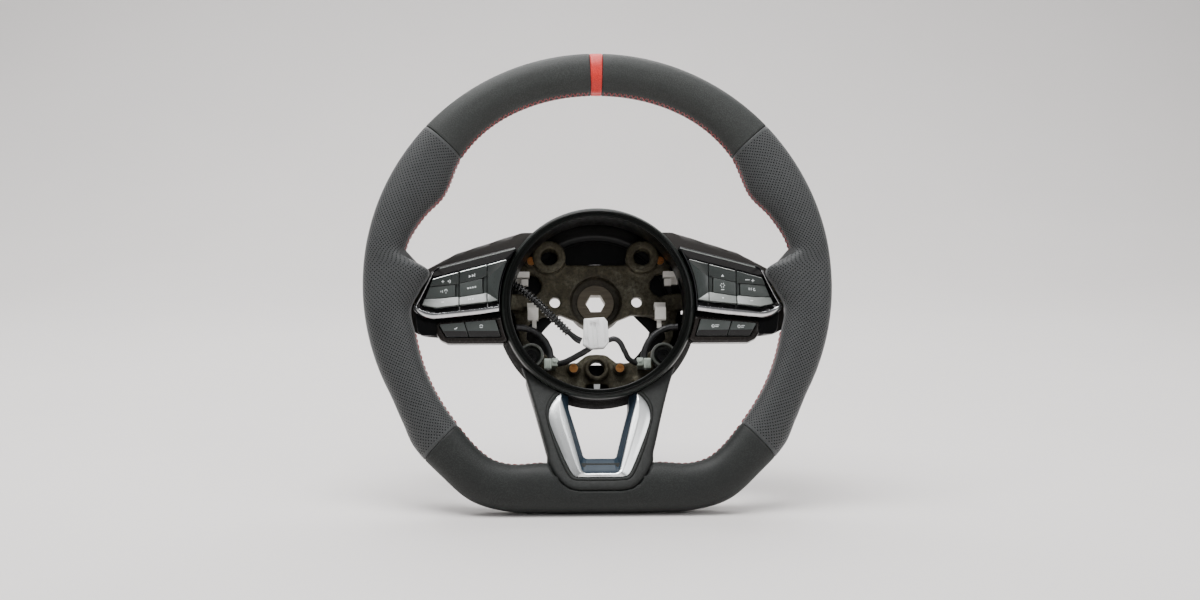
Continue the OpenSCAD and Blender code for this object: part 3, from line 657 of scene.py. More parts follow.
def branch_plug(side, sign):
    """Small two-part connector at the end of a lead, with a stem that clips to the casting."""
    shape = Build()
    shape.add(*rounded_box((31.5, 36.6), (-44, -36), (-56, -49.6), 0.6))
    shape.add(*rounded_box((36.9, 42.6), (-46, -36), (-58.4, -50.2), 0.7))
    shape.add(*rounded_box((33, 41), (-36.4, -20.1), (-56, -51), 0.4))
    for x in (38.3, 39.8, 41.3):
        shape.add(*rounded_box((x - 0.35, x + 0.35), (-46.6, -45.6), (-57.2, -51.4), 0.25))
    shape.add(*rounded_box((32.6, 35.5), (-44.9, -43.6), (-53.4, -51.4), 0.35))
    shape.add(*rounded_box((36.4, 37.1), (-43.4, -37), (-55.4, -51), 0.2))
    return shape.piece(f"{side}_branch_plug", "grey_green_nylon", sign,
                       stands_for=[f"{side}_branch_connector"], slot="grey_green_nylon")


branch_plugs = {side: branch_plug(side, sign) for side, sign in SIDES}
cord(conduit, conduit_path)
for side, route, radius in (("left", LEFT_LEAD, 2.5), ("right", RIGHT_LEAD, 2.2)):
    obj, path = lead(f"{side}_taped_lead", f"{side}_lead", route, radius)
    cord(obj, path)
for side, sign in SIDES:
    obj, path = lead(f"{side}_arc_sleeve", f"{side}_arc_cable", ARC, 2.8, sign)
    cord(obj, path)


# ---------------------------------------------------------------- rim
RIM_OUT = [(0, 0), (118, 0), (126, 3.5), (132, 8.5), (141, 10.5), (150, 13.5), (158, 9), (168, 0.5),
           (180, -3.5)]
RIM_IN = [(0, 151.5), (30, 151.5), (46, 147.5), (60, 139.5), (70, 147), (79, 153), (82.5, 151), (86.5, 133),
          (93, 140), (98.5, 148), (106, 149), (118, 152.5), (136, 158), (148, 163), (154, 160), (162, 150.5),
          (171, 145), (180, 143.5)]
RIM_OUTER_R, RIM_HALF_DEPTH, SQUARENESS = 185.0, 15.0, 2.4
LEATHER_T, SEAM_ROUND = 1.3, 0.9
GRIP_START, GRIP_END, STRIPE_HALF = 47.5, 136.0, 1.6
MM_PER_DEGREE = math.radians(168)


def hermite(keys, a):
    """A smooth curve through (angle, value) keys, flat at both ends."""
    a = abs(a)
    a = 360 - a if a > 180 else a
    i = max(k for k in range(len(keys) - 1) if a >= keys[k][0] or k == 0)

    def slope(k):
        if k in (0, len(keys) - 1):
            return 0.0
        return (keys[k + 1][1] - keys[k - 1][1]) / (keys[k + 1][0] - keys[k - 1][0])
    h = keys[i + 1][0] - keys[i][0]
    t = (a - keys[i][0]) / h
    return ((2 * t ** 3 - 3 * t ** 2 + 1) * keys[i][1] + (t ** 3 - 2 * t ** 2 + t) * h * slope(i)
            + (3 * t ** 2 - 2 * t ** 3) * keys[i + 1][1] + (t ** 3 - t ** 2) * h * slope(i + 1))


fine_t = np.radians(np.linspace(180, 540, 481))
cos_p = np.sign(np.cos(fine_t)) * np.abs(np.cos(fine_t)) ** (2 / SQUARENESS)
sin_p = np.sign(np.sin(fine_t)) * np.abs(np.sin(fine_t)) ** (2 / SQUARENESS)


def section(a):
    """Radius, depth, outward normal and running length round the section at angle a, front first."""
    outer, inner = RIM_OUTER_R + hermite(RIM_OUT, a), hermite(RIM_IN, a)
    r = (outer + inner) / 2 + (outer - inner) / 2 * cos_p
    y = RIM_Y + RIM_HALF_DEPTH * sin_p
    dr, dy = np.gradient(r), np.gradient(y)
    dr[0] = dr[-1] = (r[1] - r[-2]) / 2
    dy[0] = dy[-1] = (y[1] - y[-2]) / 2
    size = np.hypot(dr, dy)
    normal = np.stack([-dy, dr], 1) / size[:, None]
    if normal[0][0] > 0:
        normal = -normal
    run = np.concatenate([[0], np.cumsum(np.hypot(np.diff(r), np.diff(y)))])
    return r, y, normal, run


def skin_points(a, at, depth):
    """Points of the leather at angle a. at: running lengths from the inner seam; depth below the surface."""
    r, y, normal, run = section(a)
    at = np.mod(np.asarray(at, float), run[-1])
    rr, yy = np.interp(at, run, r), np.interp(at, run, y)
    nr, ny = np.interp(at, run, normal[:, 0]), np.interp(at, run, normal[:, 1])
    rr, yy = rr - nr * depth, yy - ny * depth
    s, c = math.sin(math.radians(a)), math.cos(math.radians(a))
    return np.stack([rr * s, yy, RIM_Z + rr * c], 1)


def girth(a):
    return section(a)[3][-1]


def seam_share(a):
    """Share of the girth that the seam lies in front of the inner middle; behind it at the bottom."""
    return 0.014 * math.cos(math.radians(a))


def end_roll(s):
    """How far the leather dips at distance s from its rolled end."""
    s = np.clip(s, 0, SEAM_ROUND)
    return SEAM_ROUND - np.sqrt(np.maximum(SEAM_ROUND ** 2 - (SEAM_ROUND - s) ** 2, 0))


def leather_rows(a0, a1, step):
    """Angles of the rows of a panel, close together at its rolled ends, with each row's dip."""
    edge = np.array([0.0, 0.12, 0.35, 0.9]) / MM_PER_DEGREE
    inner = np.arange(a0 + 1.8 / MM_PER_DEGREE, a1 - 1.8 / MM_PER_DEGREE + 1e-9, step)
    rows = np.concatenate([a0 + edge, inner, a1 - edge[::-1]])
    dips = end_roll(np.minimum(rows - a0, a1 - rows) * MM_PER_DEGREE)
    return rows, dips


def panel_shape(a0, a1, columns, step, dent=None):
    """A leather panel: outer skin rolled in at its ends, inner skin, and a groove along the seam."""
    rows, dips = leather_rows(a0, a1, step)
    loops = []
    share = np.arange(columns) / columns
    for a, dip in zip(rows, dips):
        groove = 0.55 * np.exp(-(np.abs((share - seam_share(a) + 0.5) % 1 - 0.5) * 100 / 1.1) ** 2)
        p = skin_points(a, share * girth(a), dip + groove)
        loops.append(dent(p, 0.0) if dent else p)
    inner_rows = np.linspace(a1, a0, max(3, int((a1 - a0) / 2.5)))
    for a in inner_rows:
        p = skin_points(a, share * girth(a), LEATHER_T + 0.1)
        loops.append(dent(p, LEATHER_T) if dent else p)
    return Build().add(*loft(loops, closed=True))


HEX = [(math.cos(math.radians(60 * k)), math.sin(math.radians(60 * k))) for k in range(6)]
HOLE_R, HOLE_DEEP, CELL = 0.54, 1.1, 1.5


def perforated_shape(a0, a1):
    """A grip panel with real perforations: every other cell of its grid holds a small pit."""
    columns = 72
    count = int(round((a1 - a0) * MM_PER_DEGREE / CELL))
    edge = np.array([0.0, 0.12, 0.35]) / MM_PER_DEGREE
    grid = np.linspace(a0 + 0.9 / MM_PER_DEGREE, a1 - 0.9 / MM_PER_DEGREE, count + 1)
    rows = np.concatenate([a0 + edge, grid, a1 - edge[::-1]])
    dips = end_roll(np.minimum(rows - a0, a1 - rows) * MM_PER_DEGREE)
    share = np.arange(columns) / columns
    groove = 0.55 * (np.arange(columns) == 0)
    loops = [skin_points(a, share * girth(a), dip + groove) for a, dip in zip(rows, dips)]
    outer = np.array(loops)
    normals = unit(np.cross(np.roll(outer, -1, 1) - np.roll(outer, 1, 1),
                            np.gradient(outer, axis=0)).reshape(-1, 3))
    flat = outer.reshape(-1, 3)
    axis_r = 0.5 * (np.array([hermite(RIM_IN, a) for a in rows]) + RIM_OUTER_R
                    + np.array([hermite(RIM_OUT, a) for a in rows]))
    axis = np.repeat(np.stack([axis_r * np.sin(np.radians(rows)), np.full(len(rows), RIM_Y),
                               RIM_Z + axis_r * np.cos(np.radians(rows))], 1), columns, 0)
    sign = np.sign(np.sum(normals * (flat - axis), axis=1).mean())
    normals *= sign
    faces, ids = [], []
    base = len(flat)
    extra = []
    n = columns
    for i in range(len(rows) - 1):
        for j in range(columns):
            a, b = i * n + j, (i + 1) * n + j
            c, d = (i + 1) * n + (j + 1) % n, i * n + (j + 1) % n
            along, across = np.linalg.norm(flat[b] - flat[a]), np.linalg.norm(flat[d] - flat[a])
            inside = 4 <= i < len(rows) - 5 and 3 <= j < columns - 3 and along < 4.2
            if not inside or (i + j) % 2:
                faces.append([a, b, c, d])
                ids.append(0)
                continue
            p = flat[[a, b, c, d]]
            start = base + len(extra)
            for x, z in HEX:
                u, v = 0.5 + min(HOLE_R / along, 0.45) * x, 0.5 + min(HOLE_R / across, 0.45) * z
                extra.append((1 - u) * (1 - v) * p[0] + u * (1 - v) * p[1] + u * v * p[2]
                             + (1 - u) * v * p[3])
            extra.append(p.mean(0) - normals[a] * HOLE_DEEP)
            h = [start + k for k in range(6)]
            faces += [[b, c, h[0]], [c, h[1], h[0]], [c, d, h[2], h[1]], [d, h[3], h[2]], [d, a, h[3]],
                      [a, h[4], h[3]], [a, b, h[5], h[4]], [b, h[0], h[5]]]
            ids += [0] * 8
            # The pits' walls take the near-black material: painted shade inside the holes.
            faces += [[h[k], h[(k + 1) % 6], start + 6] for k in range(6)]
            ids += [1] * 6
    count_outer = base + len(extra)
    inner_rows = np.linspace(a1, a0, 36)
    inner = [skin_points(a, share * girth(a), LEATHER_T + 0.1) for a in inner_rows]
    k = len(inner)
    for i in range(k - 1):
        for j in range(n):
            a = count_outer + i * n
            faces.append([a + j, a + n + j, a + n + (j + 1) % n, a + (j + 1) % n])
            ids.append(0)
    last, first = (len(rows) - 1) * n, count_outer
    low = count_outer + (k - 1) * n
    for j in range(n):
        faces.append([last + j, first + j, first + (j + 1) % n, last + (j + 1) % n])
        faces.append([low + j, j, (j + 1) % n, low + (j + 1) % n])
        ids += [0, 0]
    return Build().add(np.vstack([flat, np.array(extra), np.concatenate(inner)]), faces, ids)


# The lower spoke's face plane and outlines, shared by its cover, trim and the leather round it
SPOKE_SLOPE = 0.318
SURROUND = [(0, -60), (58, -64), (50.5, -92), (41, -130), (41, -136), (36.5, -145.5), (30, -153.5),
            (24, -157.5), (16, -159), (0, -159)]


def both_halves(half):
    return half + [(-x, z) for x, z in half[::-1] if x != 0]


def face_y(z):
    return -68 + (np.asarray(z) + 85) * SPOKE_SLOPE


surround = fillet(both_halves(SURROUND), 6, 5)


def outline_distance(points, poly):
    """Signed distance from points to a polygon, negative inside."""
    p = np.asarray(points, float)
    a = np.asarray(poly, float)
    b = np.roll(a, -1, 0)
    best = np.full(len(p), 1e9)
    inside = np.zeros(len(p), bool)
    for s, e in zip(a, b):
        d = e - s
        t = np.clip(((p - s) @ d) / max(d @ d, 1e-12), 0, 1)
        best = np.minimum(best, np.linalg.norm(p - s - t[:, None] * d, axis=1))
        crosses = (s[1] > p[:, 1]) != (e[1] > p[:, 1])
        with np.errstate(divide="ignore", invalid="ignore"):
            x = s[0] + (p[:, 1] - s[1]) * d[0] / d[1]
        inside ^= crosses & (p[:, 0] < x)
    return np.where(inside, -best, best)


def cover_dent(p, under):
    """Presses the front of the bottom leather down where the lower spoke's cover lies on it."""
    front = p[:, 1] < RIM_Y + 6
    d = outline_distance(p[:, [0, 2]], surround)
    floor = face_y(p[:, 2]) + 3.4 + under
    t = np.clip((1.0 - d) / 1.6, 0, 1)
    t = t * t * (3 - 2 * t)
    deeper = np.maximum(floor - p[:, 1], 0) * t * front
    q = p.copy()
    q[:, 1] += deeper
    return q


for side, sign in SIDES:
    shape = panel_shape(STRIPE_HALF + 0.04, GRIP_START - 0.04, 96, 0.5)
    shape.piece(f"top_leather_{side}_panel", "smooth_leather", sign, stands_for=[f"top_leather_{side}"],
                slot="smooth_leather")
    grip = perforated_shape(GRIP_START + 0.04, GRIP_END - 0.04)
    grip.piece(f"grip_leather_{side}_panel", ["perforated_leather", "perforation_painted_shade"], sign,
               stands_for=[f"grip_leather_{side}"], slot="perforated_leather")


panel_shape(GRIP_END + 0.04, 360 - GRIP_END - 0.04, 150, 0.28, cover_dent).piece(
    "bottom_leather_panel", "lower_leather", stands_for=["bottom_leather"], slot="smooth_leather")
panel_shape(-STRIPE_HALF, STRIPE_HALF, 96, 0.4).piece(
    "centre_stripe_panel", "red_leather", stands_for=["centre_stripe"], slot="red_leather")


STITCH_PITCH, THREAD_R = 4.2, 0.36


def stitch_paths(a0, a1, reach=4.4, lifts=(0.15, 0.5)):
    """Crossed threads over the inner seam, as short paths from side to side."""
    paths = []
    count = max(1, int((a1 - a0) * math.radians(150) / STITCH_PITCH))
    for k in range(count):
        s, e = a0 + (a1 - a0) * (k + 0.08) / count, a0 + (a1 - a0) * (k + 0.92) / count
        for way, lift in zip((1, -1), lifts):
            path = []
            for t in np.linspace(0, 1, 6):
                d = way * reach * (2 * t - 1)
                depth = 0.45 - (0.45 + lift + 0.25) * math.sin(math.pi * t) ** 0.6
                at = s + (e - s) * t
                path.append(skin_points(at, [d + seam_share(at) * girth(at)], depth)[0])
            paths.append(path)
    return paths


for side, sign in SIDES:
    paths = stitch_paths(STRIPE_HALF + 0.6, GRIP_START - 0.4) + stitch_paths(GRIP_START + 0.4, 82)
    paths += stitch_paths(106, GRIP_END - 0.4, reach=3.6)
    paths += stitch_paths(GRIP_END + 0.4, 163, reach=2.4, lifts=(0.0, 0.2))
    tubes(paths, THREAD_R, 5).piece(f"stitching_{side}", "red_thread", sign, slot="red_leather")


# ---------------------------------------------------------------- switch pods
POD_MIDDLE = np.array([102.0, 1.5])
POD = [(50, 39), (126.5, 18.8), (130.5, 15.5), (145, -14), (142, -18), (135.5, -21.4), (129, -22.6),
       (96.7, -19.4), (60, -15)]
PANEL = [(60, 28), (87.5, 20.3), (109.4, 14.6), (130.1, 9), (138.1, -11.4), (136, -12), (127.4, -14),
         (109.4, -11.8), (87, -9.4), (60, -6.5)]
APRON = [(60, 30), (143.5, 10), (143.8, -20), (142.3, -31), (139, -34), (60, -34)]


def rays(middle, corners, count=240):
    at = [math.atan2(z - middle[1], x - middle[0]) for x, z in corners]
    return np.unique(np.concatenate([np.linspace(-math.pi, math.pi, count, endpoint=False), at]))


def clipped(outline, middle, angles, ring_radius):
    """An outline clipped by a circle round the hub ring, sampled along rays from middle."""
    radii = np.minimum(ray_radius(outline, middle, angles), circle_hit(middle, angles, HUB, ring_radius))
    return polar_loop(middle, angles, radii)


def pod_shape():
    """The pod frame: wall, rounded lip, wedge down to the panel, pocket wall and floor, and apron."""
    angles = rays(POD_MIDDLE, POD + PANEL)
    outer = fillet(POD, 2.0, 4)

    def loop(outline, ring, y):
        return at_depth(clipped(outline, POD_MIDDLE, angles, ring), y)
    loops = [loop(outer, 77.3, -58.3), loop(outer, 77.3, -72.0)]
    for s in np.linspace(0.3, math.pi / 2, 4):
        back = 1 - math.cos(s)
        loops.append(loop(inset(outer, 0.9 * back), 77.3 + 0.4 * back, -72.1 - 0.9 * math.sin(s)))
    loops.append(loop(inset(outer, 1.5), 78.0, -72.9))
    loops.append(loop(inset(outer, 1.9), 78.1, -72.4))
    foot = fillet(inset(PANEL, -1.0), 1.0, 3)
    loops.append(loop(foot, 78.4, -70.4))
    pocket = fillet(inset(PANEL, -0.5), 0.8, 3)
    loops.append(loop(pocket, 78.6, -70.2))
    loops.append(loop(pocket, 78.6, -62.0))
    loops.append(loop(pocket, 78.6, -60.2))
    shape = Build()
    shape.add(*loft(loops))
    apron = fillet(APRON, 3.0, 4)
    shape.add(*loft([loop(apron, 77.3, -58.4), loop(apron, 77.3, -61.2),
                     loop(inset(apron, 0.45), 77.6, -61.8)]))
    # Painted highlight: a pale line along the top of the frame, where its rounded edge catches the light
    lip = tubes([smooth_path([(65.2, -72.75, 33.6), (95, -72.75, 25.8), (124.6, -72.75, 17.9)], 12)], 0.5, 10)
    return shape.join(lip, 1)


pod = pod_shape()
# Matched outer and inner edges of the bright trim, from its upper end round the corner to the hub
TRIM_OUTER = [(130.5, 15.5), (134.4, 7.5), (140.2, -4.3), (144.6, -13.2), (144.2, -15.8), (142, -18),
              (139, -20), (135.5, -21.4), (129, -22.4), (118, -21.6), (107, -20.5), (96.7, -19.4),
              (86, -18.0), (78.2, -16.9)]
TRIM_INNER = [(129.2, 14.6), (132.9, 6.5), (138.4, -4.8), (142.2, -12.4), (141.6, -13.8), (139.6, -15.0),
              (137.6, -15.9), (134.8, -16.9), (128.0, -18.4), (117.5, -17.2), (107, -16.1), (96.7, -15.0),
              (86, -13.8), (78.2, -12.9)]


def swept(outer, inner, section):
    """A strip between two matched lines. section: (share from outer to inner, depth) round the strip."""
    a = flat_path(outer, 90)
    b = flat_path(inner, 90)
    loops = []
    for p, q in zip(a, b):
        loops.append([(p[0] + (q[0] - p[0]) * t, y, p[2] + (q[2] - p[2]) * t) for t, y in section])
    return loft(loops)


trim = Build()
trim.add(*swept(TRIM_OUTER, TRIM_INNER, [(0.0, -72.6), (0.0, -73.9), (0.06, -74.3), (0.3, -74.9),
                                         (0.62, -75.35), (0.85, -75.5), (0.95, -75.35), (1.0, -75.0),
                                         (1.0, -72.6)]))

# Keys: a dished surface, proud along its top and bottom edges
COLUMN_A, COLUMN_B, GAP = 109.3, 87.3, 0.32
A0, A1 = COLUMN_A + GAP, COLUMN_A - GAP
TOP_A = [(A0, 14.5), (130.0, 8.9), (132.3, 3.5), (112.0, 5.2), (A0, 5.3)]
MID_A = [(112.2, 4.85), (132.4, 3.15), (136.0, -6.0), (124.3, -5.95), (112.2, -4.55)]
LOW_A = [(A0, -4.9), (112.3, -4.9), (124.3, -6.3), (136.2, -6.4), (138.0, -11.3), (136, -11.9),
         (127.4, -13.9), (A0, -11.8)]
B0, B1 = COLUMN_B + GAP, COLUMN_B - GAP
TOP_B = [(B0, 20.2), (A1, 14.7), (A1, 6.1), (90.9, 10.2), (B0, 12.2)]
MID_B = [(91.1, 9.8), (A1, 5.75), (A1, -4.9), (90.7, -2.0)]
LOW_B = [(B0, -1.6), (90.6, -2.35), (A1, -5.25), (A1, -11.7), (B0, -9.4)]
MIDDLE_Y, KEY_BACK = -72.5, -68.2        # depth of the middle keys' front, and of the caps' backs
LOW_SLOPE = 0.46


def top_face(z0):
    """Front of an upper segment: further forward towards its top edge."""
    return lambda x, z: MIDDLE_Y - 0.15 - 0.13 * np.maximum(z - (z0 - 0.19 * (x - 98)), 0)


def low_face(z0):
    """Front of a lower segment: a steep facet towards its bottom edge."""
    return lambda x, z: MIDDLE_Y - 0.1 - LOW_SLOPE * np.maximum((z0 - 0.13 * (x - 98)) - z, 0)


def away(x, z, a, b):
    """Distance of points from the line through a and b."""
    a, b = np.asarray(a), np.asarray(b)
    n = np.array([-(b - a)[1], (b - a)[0]]) / np.linalg.norm(b - a)
    return np.abs((x - a[0]) * n[0] + (z - a[1]) * n[1])


def painted_highlight_line(points, y):
    """Painted highlight: a fine bright line along a key's upper edge, where the edge catches the light."""
    return tubes([smooth_path([(x, y, z) for x, z in points], 14)], 0.26, 8)


def rocker_shape(top, low, top_z, low_z, bar, edge):
    shape = Build()
    shape.add(*plate(fillet(top, 0.5, 2), top_face(top_z), KEY_BACK, 0.3, 3))
    # The lower segment's facet takes the pale grey: painted highlight.
    shape.add(*plate(fillet(low, 0.5, 2), low_face(low_z), KEY_BACK, 0.35, 3), 2)
    shape.add(*plate(bar, -71.3, -68.3, 0.2, 2))
    line = painted_highlight_line(edge, -73.55)
    return shape.join(line, 1)


rockers = {
    "outer": rocker_shape(TOP_A, LOW_A, 6.0, -3.3, [(A0, 5.6), (111.6, 5.4), (111.6, -5.2), (A0, -5.2)],
                          [(A0 + 0.6, 14.35), (129.4, 9.05)]),
    "inner": rocker_shape(TOP_B, LOW_B, 9.6, -3.6, [(B0, 12.6), (90.2, 12.1), (90.2, -2.8), (B0, -2.4)],
                          [(B0 + 0.5, 20.05), (A1 - 0.5, 14.8)]),
}


def key_shape(cap, stem):
    shape = Build()
    shape.add(*plate(fillet(inset(cap, 0.16), 0.45, 2), MIDDLE_Y, -71.5, 0.22, 3))
    shape.add(*plate(stem, -71.55, -67.5, 0.1, 1))
    return shape


keys = {"outer": key_shape(MID_A, [(113.4, 3.9), (130.6, 2.6), (133.4, -5.2), (124, -5.2), (113.4, -3.8)]),
        "inner": key_shape(MID_B, [(92.2, 8.7), (107.9, 4.8), (107.9, -4.0), (92.2, -1.4)])}

BLANK_R = 78.9


def blank_shape():
    """The blank panel: three facets, cut round the hub ring."""
    arc = [(math.sqrt(BLANK_R ** 2 - (z - HUB[1]) ** 2), z) for z in np.linspace(-7.6, 24.0, 24)]
    top_left, top_right, middle = arc[-1], (B1, 20.3), (B1, 10.4)
    low_left, low_top, low_right = arc[0], (B1, -2.3), (B1, -9.3)
    y0 = MIDDLE_Y - 0.2
    shape = Build()
    shape.add(*plate([low_top, middle] + arc[::-1], y0, KEY_BACK, 0.14, 2))
    shape.add(*plate([top_right, top_left, middle],
                     lambda x, z: y0 - 0.16 * away(x, z, top_left, middle), KEY_BACK, 0.1, 2))
    # The lower facet takes the pale grey: painted highlight.
    shape.add(*plate([low_top, low_left, low_right],
                     lambda x, z: y0 - LOW_SLOPE * away(x, z, low_left, low_top), KEY_BACK, 0.1, 2), 2)
    line = painted_highlight_line([(72.6, 24.3), (B1 - 0.4, 20.4)], -73.4)
    return shape.join(line, 1)


blank = blank_shape()

# Lower switch housing and its keys
LOWER = [(70, -20), (78, -20.5), (127, -24.5), (127, -34), (124, -38.5), (118, -41.4), (75, -41.5), (70, -38)]
LOWER_POCKET = [(80.5, -22.4), (125.6, -26.2), (119.6, -36.8), (76.2, -36.6)]
LOWER_MIDDLE = np.array([99.0, -31.0])
lower_rays = rays(LOWER_MIDDLE, LOWER + LOWER_POCKET, 200)


def lower_shape():
    outer = fillet(LOWER, [0, 1.5, 1.5, 2.5, 3, 4, 2, 0], 4)

    def loop(outline, ring, y):
        return at_depth(clipped(outline, LOWER_MIDDLE, lower_rays, ring), y)
    loops = [loop(inset(outer, 0.8), 77.4, -58.4), loop(outer, 77.4, -60.0), loop(outer, 77.4, -67.6)]
    for s in np.linspace(0.25, math.pi / 2, 6):
        back = 1 - math.cos(s)
        loops.append(loop(inset(outer, 2.2 * back), 77.4 + 1.2 * back, -67.6 - 2.2 * math.sin(s)))
    pocket = fillet(inset(LOWER_POCKET, -0.35), 0.8, 3)
    loops += [loop(inset(pocket, -0.3), 78.8, -69.8), loop(pocket, 78.8, -69.4), loop(pocket, 78.8, -61.2)]
    return Build().add(*loft(loops))


BREAK_Z = -31.8                          # height of the lower keys' crease


def lower_face(x, z):
    """Front of the lower keys: a shallow dish above, a bevel that falls back below."""
    return -71.2 + 0.06 * np.maximum(z - BREAK_Z, 0) + 0.55 * np.maximum(BREAK_Z - z, 0)


def lower_key_shape(outline):
    """Cut into an upper and a lower part so that the bevel has a crisp edge; the lower part takes a near-black
    material as painted shade on the bevel.
    """
    (x0, z0), (x1, z1), (x2, z2), (x3, z3) = outline
    t, u = (BREAK_Z - z1) / (z2 - z1), (BREAK_Z - z0) / (z3 - z0)
    left, right = (x0 + (x3 - x0) * u, BREAK_Z), (x1 + (x2 - x1) * t, BREAK_Z)
    points = [outline[0], outline[1], right, outline[2], outline[3], left]
    outline = fillet(points, [0.8, 0.8, 0, 1.0, 1.0, 0], 3)
    verts, faces = plate(outline, lower_face, -62.6, 0.35, 3)
    n = len(outline)
    a, b = (min(range(n), key=lambda k: np.hypot(*(outline[k] - end))) for end in (right, left))
    base = len(verts) - n
    halves = [[base + k % n for k in range(i, j + 1 + (n if i > j else 0))] for i, j in ((b, a), (a, b))]
    return Build().add(verts, faces[:-1] + halves, [0] * len(faces) + [1])


lower_keys = {"outer": lower_key_shape([(105.6, -24.9), (124.8, -26.6), (119.3, -36.4), (102, -36.3)]),
              "inner": lower_key_shape([(81, -22.9), (104.8, -24.8), (101.2, -36.3), (76.9, -36.2)])}


def mark(points, y):
    """One raised mark; y is a depth or a function of x and z."""
    return loft([at_depth(points, y) + [0, 0.25, 0], at_depth(points, y) - [0, 0.07, 0]])


def bar(x, z, w, h):
    return [(x - w, z - h), (x + w, z - h), (x + w, z + h), (x - w, z + h)]


def arrow(x, z, size, way):
    """A triangle that points up, down, left or right."""
    a = {"up": 90, "down": 270, "left": 180, "right": 0}[way]
    turns = np.radians([a, a + 120, a + 240])
    return [(x + size * math.cos(t), z + size * math.sin(t)) for t in turns]


def dot(x, z, r):
    return [(x + r * math.cos(t), z + r * math.sin(t)) for t in np.linspace(0, 2 * math.pi, 14)[:-1]]


def band_arc(x, z, r, a0, a1, half=0.28):
    t = np.radians(np.linspace(a0, a1, 12))
    return [(x + (r + half) * math.cos(k), z + (r + half) * math.sin(k)) for k in t] + [
        (x + (r - half) * math.cos(k), z + (r - half) * math.sin(k)) for k in t[::-1]]


def plus(x, z):
    s, t = 1.15, 0.24
    return [(x - s, z - t), (x - t, z - t), (x - t, z - s), (x + t, z - s), (x + t, z - t), (x + s, z - t),
            (x + s, z + t), (x + t, z + t), (x + t, z + s), (x - t, z + s), (x - t, z + t), (x - s, z + t)]


# The faces that marks lie on, above and below the middle of the pod
FACES = {"outer_rocker": (top_face(6.0), low_face(-3.3)), "inner_rocker": (top_face(9.6), low_face(-3.6)),
         "outer_key": (MIDDLE_Y, MIDDLE_Y), "inner_key": (MIDDLE_Y, MIDDLE_Y),
         "lower_outer_key": (lower_face, lower_face), "lower_inner_key": (lower_face, lower_face)}
MARKS = {
    "left": {
        "outer_rocker": [plus(122.0, 7.2), dot(117.6, 7.4, 0.6), band_arc(117.6, 7.4, 1.5, 120, 240),
                         bar(122.0, -9.3, 1.1, 0.25)],
        "outer_key": [band_arc(119.6, 0.2, 0.9, -40, 220), bar(119.6, -1.6, 0.26, 0.6),
                      bar(122.3, -0.6, 0.24, 1.0), bar(123.6, -0.6, 0.24, 0.6)],
        "inner_rocker": [arrow(98.6, 12.0, 1.25, "left"), arrow(101.0, 11.4, 1.25, "left"),
                         bar(97.0, 12.4, 0.25, 1.2), arrow(98.6, -6.8, 1.0, "right"),
                         arrow(100.6, -7.0, 1.0, "right"), bar(102.0, -7.2, 0.22, 0.9)],
        "inner_key": [bar(96.6 + 1.9 * k, 3.0 - 0.35 * k, 0.62, 0.62) for k in range(4)],
        "lower_outer_key": [band_arc(112.5, -28.6, 1.6, 190, 290, 0.36)],
        "lower_inner_key": [band_arc(92.0, -28.2, 1.2, 20, 160, 0.3),
                            band_arc(92.0, -28.0, 1.2, 200, 340, 0.3)],
    },
    "right": {
        "outer_rocker": [plus(122.4, 7.0), bar(118.2, 7.6, 1.7, 0.26), bar(121.0, -9.3, 1.1, 0.25)],
        "outer_key": [bar(119.4, 0.5, 0.26, 1.0), bar(121.0, 0.3, 0.26, 1.0),
                      band_arc(123.6, 0.0, 0.85, 60, 330, 0.26)],
        "inner_rocker": [arrow(98.6, 11.0, 1.3, "up"), arrow(98.4, -6.9, 1.0, "down")],
        "inner_key": [dot(98.4 + 1.5 * math.cos(t), 3.4 + 1.5 * math.sin(t), 0.42)
                      for t in np.linspace(0, 2 * math.pi, 7)[:-1]] + [bar(98.4, 0.0, 1.2, 0.3)],
        "lower_outer_key": [band_arc(110.8, -29.2, 1.0, 0, 345, 0.24), bar(114.0, -28.6, 1.4, 0.24),
                            bar(113.4, -29.9, 1.2, 0.24)],
        "lower_inner_key": [band_arc(90.4, -28.8, 1.0, 0, 345, 0.24), bar(93.6, -28.0, 1.6, 0.24),
                            bar(93.2, -29.3, 1.3, 0.24)],
    },
}


def make_pod(side, sign):
    def put(shape, name, node, mats, body="root", slot="key_plastic", sharp=32):
        shape.piece(f"{side}_{name}", mats, sign, body=body, stands_for=[f"{side}_{node}"], slot=slot,
                    sharp=sharp)
    put(pod, "pod_frame", "switch_frame", ["gloss_black", "painted_highlight_grey"], slot="gloss_black")
    put(trim, "bright_trim", "chrome_trim", "dark_chrome", slot="dark_chrome")
    put(blank, "blank_cover", "blank_panel", ["key_plastic", "painted_highlight_line", "painted_highlight_grey"])
    put(lower_shape(), "lower_housing", "lower_frame", "brown_plastic", slot="dark_brown_plastic")
    for place in ("outer", "inner"):
        put(rockers[place], f"{place}_rocker_cap", f"{place}_rocker", ["key_plastic", "painted_highlight_line", "painted_highlight_grey"],
            body=f"{side}_{place}_rocker")
        put(keys[place], f"{place}_key_cap", f"{place}_key", "key_light", body=f"{side}_{place}_key")
        # The lower part of each lower key is near-black: painted shade on its bevel.
        put(lower_keys[place], f"lower_{place}_key_cap", f"lower_{place}_key", ["key_light", "gloss_black"],
            body=f"{side}_lower_{place}_key", sharp=16)
    for target, outlines in MARKS[side].items():
        shape = Build()
        for outline in outlines:
            shape.add(*mark(outline, FACES[target][outline[0][1] < 0]))
        shape.piece(f"{side}_{target}_mark", "glyph", sign, body=f"{side}_{target}", slot="white_nylon",
                    sharp=20)


for side, sign in SIDES:
    make_pod(side, sign)

# ---------------------------------------------------------------- side spokes
WING_END = 148.6
